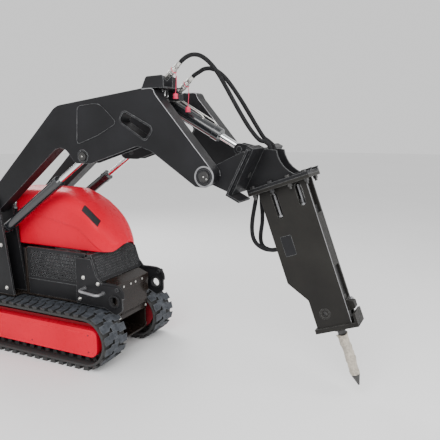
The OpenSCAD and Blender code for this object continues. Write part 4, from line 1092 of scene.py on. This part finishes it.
@dataclass
class Chassis:
    """Screens, rails, bolts, tie-down rings and pad. Side bolts give y, radius and places."""

    screen_top: Array = sized(-247, 0, 786)
    screen_foot: Array = sized(-180, 0, 591)
    deck: float = 0.262
    side_out: float = 0.2538
    rail_r: float = 0.0105
    rail: Array = sized(
        (-300, 276.8, 536.6), (-301, 320, 536.7), (-292, 343, 535.8), (-268, 350, 533.5), (-219, 350, 528.5),
        (-170, 350, 523.5), (-146, 343, 521.2), (-137, 320, 520.3), (-138, 276.8, 520.4))
    lean_bar: Array = sized(
        (-1222, 144, 1061), (-1222, 144, 1095), (-1222, 150, 1118), (-1222, 140, 1130), (-1222, 100, 1132.5),
        (-1222, 0, 1132.5))
    eye: tuple[float, float] = (-0.043, 0.473)
    eye_r: float = 0.040
    stop: Array = sized((-150, 268, 586), (-90, 268, 587.5), (-30, 268, 584), (6, 268, 566), (23.5, 268, 536),
                        (26, 268, 500))
    side_bolts: tuple[tuple[float, float, Array], ...] = field(default_factory=lambda: (
        (0.2762, 0.0105, mm((-311, 615), (-183, 583), (-350, 450))),
        (0.3522, 0.0105, mm((-990, 470), (-1200, 470), (-1200, 800), (-1020, 800))),
        (0.1902, 0.0100, mm((-105, 150), (-240, 150), (-105, 340)))))
    front_bolts: Array = sized((30, 535, 9.5), (118, 535, 9.5), (168, 310, 8))
    front_x: float = -0.0808
    pad_gap: float = 0.008
    pad_swell: float = 0.008

    def screens(self) -> None:
        """Perforated sheets of the front and of both sides, in place of the plain ones."""
        corner = self.screen_foot - (0, self.deck, 0)
        rise = self.screen_top - self.screen_foot
        Perforated("front_screen_sheet", corner, (0, 1, 0), rise, 26, 9, 0.0185, 0.0052,
                   (0.0168, 0.0198)).build()
        for side, name in SIDES:
            corner = (-0.3105 if side > 0 else -0.8578, side * self.side_out, 0.5405)
            Perforated(name + "_side_sheet", corner, (-side, 0, 0), (0, 0, 1), 19, 8, 0.0260, 0.0082,
                       (0.0201, 0.0183)).build()
            panel = Shell()
            panel.prism(rect(-857, 421, -311, 540.2), side * 0.2505, side * self.side_out)
            panel.prism(rect(-857, 783, -311, 786.2), side * 0.2345, side * self.side_out)
            panel.build(name + "_lower_panel", [BLACK], "chassis", "black_paint", bevel=0.001)
        lid = Shell()
        lid.prism(mm((-300, 782.2), (-248, 782.2), (-247, 785.8), (-300, 785.8)), 0.001 - self.deck,
                  self.deck - 0.001)
        cap = lid.build("screen_cap_strip", [BLACK], "chassis", "black_paint", bevel=0.001)
        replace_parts(cap, "front_screen", "side_panels")

    def rails(self) -> None:
        """Bent grab rails beside the hood's front and the bar behind the cowl."""
        shell = Shell()
        for side in (-1, 1):
            path = smooth(self.rail * (1, side, 1), 8)
            shell.tube(path, circle(self.rail_r, 18), up=(0, 0, 1), slot=1)
            for end in (path[0], path[-1]):
                flange = mm((10.5, 0), (17, 0), (17, 2), (12.5, 6), (10.5, 6))
                shell.lathe(flange, end - (0, side * 0.0006, 0), (0, side, 0), 28)
        bar = np.vstack([self.lean_bar, self.lean_bar[-2::-1] * (1, -1, 1)])
        shell.tube(smooth(bar, 6), circle(0.0125, 20), up=(1, 0, 0))
        rails = shell.build("bent_rails", [BLACK, BARE_STEEL_AND_HIGHLIGHT], "chassis", "black_paint", angle=40)
        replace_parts(rails, "hand_rails")

    def hooks(self) -> None:
        """Thick rings round the tie-down eyes, and the rolled stops above them."""
        shell = Shell()
        ring = circle(self.eye_r, 48) + self.eye
        for side in (-1, 1):
            for y in (0.2600, 0.2785):
                shell.hoop(np.insert(ring, 1, side * y, axis=1), circle(0.0090, 14))
            shell.tube(smooth(self.stop * (1, side, 1), 8), circle(0.0115, 14), up=(0, 1, 0))
        shell.build("tie_down_rings", [BLACK], "chassis", "black_paint", angle=45)

    def bolts(self) -> None:
        """Plated bolts of the panels, the front plate and the hull, and the front plate's strips."""
        shell = Shell()
        for side in (-1, 1):
            for y, r, places in self.side_bolts:
                for x, z in places:
                    shell.bolt((x, side * y, z), (0, side, 0), r)
            for y, z, r in self.front_bolts:
                shell.bolt((self.front_x, side * y, z), (1, 0, 0), r)
        shell.build("plated_bolts", [ZINC], "chassis", "zinc", angle=25)
        strip = Shell()
        strip.prism(fillet(rect(-81.2, 505, -76.5, 561), 0.002, 3), -0.206, 0.206)
        for side in (-1, 1):
            strip.prism(fillet(rect(-81.2, 425, -77, 470), 0.002, 3), side * 0.150, side * 0.200)
        strip.build("front_plate_lip", [FRAME], "chassis", "frame_paint", bevel=0.0008)

    def pad(self) -> None:
        """The thigh pad: a stuffed cushion, blown up by a cloth simulation, with its piping."""
        lo, hi = (np.array(c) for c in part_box("thigh_pad"))
        mid, size = (lo + hi) / 2, (hi - lo) / 2 - self.pad_gap
        u = np.linspace(-math.pi / 2, math.pi / 2, 33)[:, None]
        v = np.linspace(0, TURN, 64, endpoint=False)[None]

        def power(value: Array, share: float) -> Array:
            """A signed power, which squares a circle off."""
            return np.sign(value) * np.abs(value) ** share

        cu, su = power(np.cos(u), 0.55), power(np.sin(u), 0.55)
        cv, sv = power(np.cos(v), 0.3), power(np.sin(v), 0.3)
        shell = Shell()
        shell.grid(mid + size * np.stack(np.broadcast_arrays(su, cu * cv, cu * sv), -1), close_v=True)
        pad = shell.build("thigh_cushion", [VINYL], None, "pad_vinyl", angle=180)
        self.inflate(pad)
        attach(pad, "chassis")
        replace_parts(pad, "thigh_pad")
        seam = Shell()
        edge = fillet(rect(-166, 644, 166, 856), 0.03, 8)
        seam.hoop(np.insert(edge, 0, mid[0] + 0.004, axis=1), circle(0.0032, 10), up=(1, 0, 0))
        seam.build("thigh_cushion_piping", [VINYL], "chassis", "pad_vinyl", angle=60)

    def inflate(self, pad: bpy.types.Object) -> None:
        """Blows a closed shape up with cloth under pressure, and limits how far it swells.

        Args:
            pad: the object, whose mesh is replaced by the result.
        """
        scene = bpy.context.scene

        def freeze() -> tuple[bpy.types.Mesh, Array]:
            """Applies the pad's modifiers and takes them off.

            Returns:
                The new mesh and its points.
            """
            mesh = bpy.data.meshes.new_from_object(pad.evaluated_get(bpy.context.evaluated_depsgraph_get()))
            points = np.empty(len(mesh.vertices) * 3, np.float32)
            mesh.vertices.foreach_get("co", points)
            pad.modifiers.clear()
            pad.data = mesh
            return mesh, points.reshape(-1, 3)

        remesh = pad.modifiers.new("remesh", "REMESH")
        remesh.mode, remesh.voxel_size = "VOXEL", 0.006
        bpy.context.view_layer.update()
        _, rest = freeze()
        cloth = pad.modifiers.new("cloth", "CLOTH").settings
        cloth.use_pressure, cloth.uniform_pressure_force = True, 4
        cloth.effector_weights.gravity = 0
        for step in range(1, 21):
            scene.frame_set(step)
        blown, points = freeze()
        move = points - rest
        far = np.linalg.norm(move, axis=1, keepdims=True)
        final = rest + move * np.minimum(1, self.pad_swell / np.maximum(far, 1e-9))
        blown.vertices.foreach_set("co", final.ravel())
        scene.frame_set(1)
        blown.shade_smooth()
        smoother = pad.modifiers.new("smooth", "SUBSURF")
        smoother.levels = smoother.render_levels = 1

    def build(self) -> None:
        """Makes all of it."""
        for make in (self.screens, self.rails, self.hooks, self.bolts, self.pad):
            make()


@dataclass
class Lever:
    """A control lever with a ridged grip on a plated rod."""

    name: str
    y: float
    grip: float
    reach: float
    pivot: tuple[float, float] = (-1.120, 0.920)
    hub: Array = sized((6.1, -6), (13.5, -6), (14, -5), (14, 5), (13.5, 6), (6.1, 6), (6.1, -6))
    rod_r: float = 0.005
    rod_end: float = 0.045
    grip_low: float = 0.062

    def build(self) -> None:
        """Turns the hub, the rod and the grip, in place of the plain lever."""
        foot = (self.pivot[0], self.y, self.pivot[1])
        shell = Shell()
        shell.lathe(self.hub, foot, (0, 1, 0), 30, 1)
        r, end = self.rod_r, self.reach - self.rod_end
        shell.lathe([(0, 0.012), (r, 0.012), (r, end), (0, end)], foot, (0, 0, 1), 16, 1)
        h, g, low = np.linspace(0, 1, 40), self.grip, self.reach - self.grip_low
        waist = 1 - 0.14 * np.sin(math.pi * np.clip(h * 1.15, 0, 1)) ** 2
        ridges = 0.035 * g * np.maximum(0, np.sin(h * TURN * 6)) * (h < 0.72)
        cap = np.sqrt(1 - np.clip((h - 0.8) / 0.2, 0, 1) ** 2)
        rise = low + 0.003 + h * (self.reach + g - low - 0.004)
        rings = np.stack([(g * waist * 0.96 + ridges) * cap, rise], -1)
        shell.lathe(np.vstack([(0, low), (g * 0.7, low), rings]), foot, (0, 0, 1), 28)
        lever = shell.build(self.name + "_grip", [PLASTIC, ZINC], self.name, "lever_steel", angle=40)
        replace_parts(lever, self.name)


# ---- Loader arms and cylinders ----


@dataclass
class ArmTrim:
    """Pressed panel line, light edge strips that paint a highlight on the front edges, boss rings and pins of
    one arm.
    """

    side: int
    name: str
    panel: Array = sized((-265, 1563), (-81, 1628), (68, 1708), (-49, 1818), (-95, 1834), (-250, 1818))
    front: Array = sized((262, 1914), (338, 1914), (365.5, 1872), (480, 1738), (620, 1574.5), (742, 1431),
                         (758.5, 1386))
    bead: Array = sized((-0.6, -4), (1.6, -2.5), (1.6, 2.5), (-0.6, 4))
    pin_face: float = 0.3368

    def ring(self, shell: Shell, place: tuple[float, float], r: float, out: float, slot: int) -> None:
        """Adds a raised ring with a round edge on the arm's outer face.

        Args:
            shell: the trim.
            place: centre (x, z).
            r: outer radius.
            out: how far it stands out.
            slot: number of the finish.
        """
        face = (place[0], self.side * (ARM_OUT - 0.001), place[1])
        profile = [(r - 0.011, 0), (r, 0), (r, out * 0.6), (r - 0.002, out), (r - 0.009, out),
                   (r - 0.011, out * 0.6), (r - 0.011, 0)]
        shell.lathe(profile, face, (0, self.side, 0), 64, slot)

    def trim(self) -> None:
        """The panel line, the light strips painted as a highlight along the front edges, and the rings."""
        shell = Shell()
        path = np.insert(fillet(self.panel, 0.035, 8), 1, self.side * ARM_OUT, axis=1)
        shell.hoop(path, self.bead, up=(0, self.side, 0.001))
        # Two light grey strips along the front band's edges: a painted highlight of lit edges.
        for y in (ARM_OUT - 0.002, ARM_IN + 0.002):
            shell.tube(smooth(np.insert(self.front, 1, self.side * y, axis=1), 6), circle(0.0028, 8), slot=1)
        for place, r, out, slot in ((MOUNT_PIVOT, 0.066, 0.0055, 1), (MOUNT_PIVOT, 0.048, 0.003, 0),
                                    (ARM_PIVOT, 0.067, 0.0055, 0), (LIFT_EYE, 0.046, 0.004, 0)):
            self.ring(shell, place, r, out, slot)
        shell.build(self.name + "_trim", [BLACK, BARE_STEEL_AND_HIGHLIGHT], "loader_arms", "black_paint", angle=35)

    def build(self) -> None:
        """Makes the trim, and the caps of two pins with their grease nipples and keeper."""
        self.trim()
        pins, out = Shell(), (0, self.side, 0)
        for (x, z), r in ((MOUNT_PIVOT, 34), (LIFT_EYE, 24)):
            face = (x, self.side * self.pin_face, z)
            cap = mm((0, 0), (r * 0.92, 0), (r * 0.86, 2.2), (11, 2.2), (10, 1.2), (0, 1.2))
            nipple = mm((0, 1), (5.2, 1), (5.2, 4), (3, 5.6), (3.4, 7.8), (0, 8.8))
            pins.lathe(cap, face, out, 48, 1)
            pins.lathe(nipple, face, out, 20)
        pins.bolt((MOUNT_PIVOT[0] + 0.02, self.side * self.pin_face, MOUNT_PIVOT[1] - 0.012), out, 0.0055)
        pins.build(self.name + "_pin_caps", [ZINC, STEEL], "loader_arms", "zinc", angle=30)


@dataclass
class CylinderTrim:
    """Raised rings and hard lines of one hydraulic cylinder.

    Rings give distance along the barrel, width and height; lines give place across, start and
    end. Distances below zero count back from the barrel's end.
    """

    name: str
    body: str
    base: tuple[float, float]
    eye: tuple[float, float]
    y: float
    barrel_r: float
    barrel_len: float
    rings: Array = sized((-12, 5, 3), (-50, 4, 4.2), (60, 6, 2))
    lines: Array = sized((16, 90, -75), (-16, 78, -160))
    line_shape: Array = sized((0, -2), (0, 12), (18, 20), (60, 20), (-50, 16), (-12, 14), (0, 6), (0, -2))
    foot: Array = sized((0, 0), (11.5, 0), (11.5, 10), (9.5, 12), (0, 12))

    def build(self) -> None:
        """Makes the rings and lines that stand on the barrel."""
        base, eye = (np.array([x, self.y, z]) for x, z in (self.base, self.eye))
        along = unit(eye - base)
        up = np.cross((0.0, -1.0, 0.0), along)
        up = up if up[2] > 0 else -up
        r = self.barrel_r
        shell = Shell()
        for start, width, proud in self.rings:
            start += self.barrel_len * (start < 0)
            profile = [(r - 0.003, start), (r + proud, start), (r + proud, start + width),
                       (r - 0.003, start + width), (r - 0.003, start)]
            shell.lathe(profile, base, along, 48)
        for across, start, stop in self.lines:
            root = base + (0, across, 0) + up * math.sqrt(r * r - across * across)
            stop += self.barrel_len
            run, rise = self.line_shape.T.copy()
            run += np.where(np.arange(len(run)) < 4, start, stop)
            knots = root + run[:, None] * along + rise[:, None] * up
            shell.tube(smooth(knots, 6), circle(0.0052, 12), slot=1)
            for at in (start, stop):
                shell.lathe(self.foot, root + along * at - up * 0.002, up, 6, slot=1)
        shell.build(self.name, [GLOSS, ZINC], self.body, "cylinder_paint", angle=35)


@dataclass
class Coupler:
    """A flat-faced quick coupler with a knurled sleeve, and the cap that hangs from it."""

    place: Point
    rise: float = COUPLER_RISE
    foot: Array = sized((0, 0), (15.5, 0), (17, 1.5), (17, 32.5), (0, 32.5))
    sleeve: Array = sized((0, 30), (18.5, 30), (18.5, 35), (20.5, 37), (20.5, 46), (19, 48), (19, 52),
                          (20.8, 54), (20.8, 78), (19.5, 81), (0, 81))
    neck: Array = sized((0, 80), (16.5, 80), (16.8, 86), (15, 90), (16.6, 94), (16.6, 110), (0, 110))
    nut: Array = sized((0, 108), (13.6, 108), (13.8, 110), (13.8, 134), (12.5, 137.8), (0, 137.8))
    rib: Array = sized((20.3, -0.7, 55.5), (21.2, 0, 56), (20.3, 0.7, 55.5), (20.3, -0.7, 76.5),
                       (21.2, 0, 76), (20.3, 0.7, 76.5))
    ribs: int = 36
    strap: Array = sized((0, 0, 0), (6, -4, -40), (4, -6, -90), (0, -6, -124.5))
    cap_outer: Array = sized((12.5, 4), (14.5, 0), (17, 1), (17, 8), (16, 9), (16, 29), (14, 33), (4.5, 34),
                             (4, 38), (0, 38))
    cap_inner: Array = sized((0, 28), (12.5, 28), (12.5, 4))

    @property
    def axis(self) -> Array:
        """Direction that the hose leaves in."""
        return np.array([math.cos(self.rise), 0, math.sin(self.rise)])

    def metal(self, shell: Shell) -> None:
        """Adds the turned parts, the hexagons and the knurling.

        Args:
            shell: the couplers.
        """
        for profile, sides in ((self.foot, 6), (self.sleeve, 40), (self.neck, 32), (self.nut, 6)):
            shell.lathe(profile, self.place, self.axis, sides)
        left = np.array([0.0, 1.0, 0.0])
        cos, sin = circle(1, self.ribs).T[..., None]
        back = np.cross(self.axis, left)
        spoke, tangent = cos * left + sin * back, cos * back - sin * left
        points = np.stack([self.place + r * spoke + t * tangent + h * self.axis for r, t, h in self.rib], 1)
        shell.copies(points, [(0, 1, 4, 3), (1, 2, 5, 4)])
        shell.copies(points, [(0, 2, 1), (3, 4, 5)])

    def cap(self, shell: Shell) -> None:
        """Adds a cap that hangs on a moulded strap, looped round the coupler's neck.

        Args:
            shell: the caps.
        """
        down = np.array([math.sin(self.rise), 0, -math.cos(self.rise)])
        centre = self.place + self.axis * 0.070
        a = np.linspace(0, TURN, 40, endpoint=False)[:, None]
        loop = centre + 0.0228 * (np.cos(a) * down + np.sin(a) * (0, 1, 0))
        loop = loop + np.sin(2 * a) * self.axis * 0.004
        shell.hoop(loop, circle(0.0019, 8), up=self.axis)
        top = centre + down * 0.0235
        shell.tube(smooth(top + self.strap, 8), circle(0.0021, 8), up=(1, 0.001, 0))
        for profile in (self.cap_outer, self.cap_inner):
            shell.lathe(profile, top + (0, -0.006, -0.160), (0, 0, 1), 36)


@dataclass
class Hydraulics:
    """Couplers, their caps on straps, and the hard lines behind them."""

    line_r: float = 0.0085
    line_y: Array = sized(-205, -150, -95, -45)
    line_x: Array = sized(335, 325, 300, 262, 215, 165, 125, 95)
    line_z: Array = sized(1921, 1900, 1880, 1868, 1884, 1889, 1889, 1884)
    draw_in: tuple[float, ...] = (1, 1, 1, 0.92, 0.86, 0.84, 0.9, 1)
    set_back: float = 0.012

    def build(self) -> None:
        """Makes the couplers and the caps in place of the plain ones, and the lines."""
        metal, caps, lines = Shell(), Shell(), Shell()
        for place in COUPLERS:
            coupler = Coupler(place)
            coupler.metal(metal)
            coupler.cap(caps)
        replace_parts(metal.build("coupler_pair", [ZINC], "loader_arms", "zinc", angle=30), "couplers")
        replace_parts(caps.build("cap_pair", [CAP_RED], "loader_arms", "cap_plastic", angle=40), "dust_caps")
        for i, y in enumerate(self.line_y):
            back = self.set_back * i * (np.arange(len(self.line_x)) < 2)
            knots = np.stack([self.line_x - back, y * np.array(self.draw_in), self.line_z], -1)
            lines.tube(smooth(knots, 6), circle(self.line_r, 14), up=(0, 1, 0.001))
        lines.build("arm_hard_lines", [GLOSS], "loader_arms", "cylinder_paint", angle=40)


# ---- Breaker ----


@dataclass
class BreakerTrim:
    """Tie studs in the slots, blank plate, pin rings and light edge strips of the breaker, a painted
    highlight on its front edges.

    Places are in the breaker's own frame. Studs give t, foot, top and radius.
    """

    half: float = 0.066
    studs_t: Array = sized((1420, 690, 840, 8.5), (1585, 722, 846, 7.5))
    stud_y: float = 0.0555
    thread: float = 0.0022
    thread_depth: float = 0.0017
    nut: Array = sized((0, 0), (12.5, 0), (13.5, 2), (13.5, 12), (0, 14))
    front_bolt: Array = sized(1671, 0, 75)
    pin: tuple[float, float] = (1.500, 0.027)
    pin_ring: Array = sized((12.5, 0), (33.5, 0), (33.5, 2.2), (31.5, 3.6), (26, 3.6), (24.5, 2), (14.5, 2),
                            (12.5, 3), (12.5, 0))
    # Place of the light strip that paints a highlight on the front edge: t, foot and top.
    strip: Array = sized(1645.5, -55, 862)

    def studs(self) -> None:
        """The threaded studs, seen through the slots of the side plates, and a bolt in front."""
        shell = Shell()
        for t, low, high, r in self.studs_t:
            h = np.arange(low, high, self.thread)
            wave = np.where(np.arange(len(h)) % 2, r, r - self.thread_depth)
            profile = np.vstack([(0, low), np.stack([wave, h], -1), (0, high)])
            for side in (-1, 1):
                shell.lathe(profile, leaning((t, side * self.stud_y, 0)), LEAN_UP, 14)
                shell.lathe(self.nut, leaning((t, side * self.stud_y, low - 0.010)), LEAN_UP, 6)
        shell.bolt(leaning(self.front_bolt), LEAN_UP, 0.010)
        shell.build("tie_studs", [BARE_STEEL_AND_HIGHLIGHT], "tool_mount", "tool_steel", angle=35)

    def build(self) -> None:
        """Makes the studs, and the rings, plates and light strips of both sides, the strips a painted
        highlight on the front edges.
        """
        self.studs()
        skin = Shell()
        plate = fillet(rect(1372, 430, 1446, 560), 0.006, 4)
        t, low, high = self.strip
        for side in (-1, 1):
            ring = leaning((self.pin[0], side * (self.half - 0.0042), self.pin[1]))
            skin.lathe(self.pin_ring, ring, (0, side, 0), 48)
            ends = [leaning(np.insert(plate, 1, side * (self.half + out), axis=1))
                    for out in (-0.0005, 0.0010)]
            skin.grid(np.stack(ends), close_v=True, slot=1)
            for end in ends:
                skin.add(end, np.arange(len(end))[None], 1)
            # A light strip down the front edge: a painted highlight.
            z = np.linspace(low, high, 12)
            run = leaning(np.stack([np.full(12, t), np.full(12, side * (self.half - 0.0005)), z], -1))
            skin.tube(run, circle(0.0022, 8), slot=2)
        skin.build("housing_trim", [TOOL_BLACK, BLACK, BARE_STEEL_AND_HIGHLIGHT], "tool_mount", "black_paint", angle=30)


@dataclass
class ChiselWrap:
    """A crumpled sheet wound round the chisel, with a loose edge and torn flaps."""

    axis_t: float = 1.546
    top: float = -0.134
    foot: float = -0.402
    inner: float = 0.0272
    turns: float = 1.22
    start: float = 0.9
    tight: float = 0.80

    def build(self) -> None:
        """Winds the sheet: radius grows with the turn, crumples by noise and lifts at its edge."""
        a = np.linspace(0, self.turns * TURN, 150)[:, None]
        v = np.linspace(0, 1, 90)[None, :]
        z = self.top + (self.foot - self.top) * v
        free = np.clip((a / (self.turns * TURN) - self.tight) / (1 - self.tight), 0, 1)
        flap = free**1.3 * (0.005 + 0.030 * np.exp(-((v - 0.36) / 0.17) ** 2) + 0.006 * np.sin(v * 11))
        crumple = 0.0045 * ripple(a * 1.6, v * 9, 5, 9) + 0.0022 * ripple(a * 5, v * 26, 6, 9)
        flare = np.exp(-((v / 0.07) ** 2)) * (0.006 + 0.004 * np.sin(a * 3 + 1))
        bulge = 0.010 * np.exp(-(((v - 0.24) / 0.13) ** 2)) * np.exp(-(((a - 3.9) / 0.8) ** 2))
        r = self.inner + 0.0012 + 0.0011 * a / TURN + np.maximum(crumple, -0.0008) + flap + flare + bulge
        z = z + 0.004 * ripple(a * 2, v * 2, 8) * np.clip(np.abs(v - 0.5) * 4 - 1, 0, 1)
        turn = a + self.start
        p = np.stack(np.broadcast_arrays(self.axis_t + r * np.cos(turn), r * np.sin(turn), z), -1)
        shell = Shell()
        shell.grid(leaning(p))
        wrap = shell.build("chisel_wrap", [WRAP], "chisel", "tool_steel", angle=70, closed=False)


# ---- The whole machine ----


DRESSING = (
    (FRAME, 0.0015, "main_frame front_plate"),
    (BLACK, 0.0015, "tie_down_plates arm_towers counterweight left_loader_arm right_loader_arm arm_cross_tube"
                    " coupler_bracket mount_plate attachment_bracket"),
    (PLASTIC, 0.0015, "rear_cowl fuel_tank hydraulic_tank cooling_fan"),
    (BLACK, 0.001, "operator_platform"),
    (DARK_RED, 0.0015, "track_frames"),
    (RED, 0.003, "track_guards"),
    (IRON, 0.0015, "left_sprocket right_sprocket left_idler right_idler left_front_roller left_rear_roller"
                   " right_front_roller right_rear_roller"),
    (ALLOY, 0.003, "engine radiator hydraulic_pump"),
    (ZINC, 0.0008, "tower_pins port_fittings left_lock_lever right_lock_lever"),
    (STEEL, 0.0008, "arm_pins flange_bolts retainer_pin piston chisel front_head breaker_cylinder"),
    (CHROME, 0.0008, "lift_rods tilt_rod"),
    (GLOSS, 0.001, "lift_barrels tilt_barrel"),
    (TOOL_BLACK, 0.0015, "breaker_housing bottom_guard"),
)
LEVERS = (("left_drive_lever", -0.100, 0.014, 0.230), ("right_drive_lever", -0.150, 0.014, 0.230),
          ("loader_lever", 0.0, 0.016, 0.210), ("throttle_lever", 0.110, 0.009, 0.215))


def main() -> None:
    """Builds the scene: camera and hoses first, then each sub-assembly."""
    logging.basicConfig(level=logging.INFO, format="%(name)s: %(message)s", stream=sys.stdout)
    studio = Studio()
    studio.camera()
    Hoses().build()
    for finish, bevel, names in DRESSING:
        dress(finish, bevel, *names.split())
    for side, name in SIDES:
        Track(side, name + "_rubber_belt").build()
        ArmTrim(side, name + "_arm").build()
        CylinderTrim(name + "_lift_trim", "lift_barrels", LIFT_BASE, LIFT_EYE, side * 0.280, 0.038, 0.700,
                     lines=np.empty((0, 3))).build()
    for part in (TrackTrim(), Hood(), Chassis(), *(Lever(*lever) for lever in LEVERS),
                 CylinderTrim("tilt_trim", "tilt_barrel", TILT_BASE, TILT_EYE, 0.0, 0.044, 0.477),
                 Hydraulics(), BreakerTrim(), ChiselWrap()):
        part.build()
    studio.light()
    studio.floor()


if __name__ == "__main__":
    main()
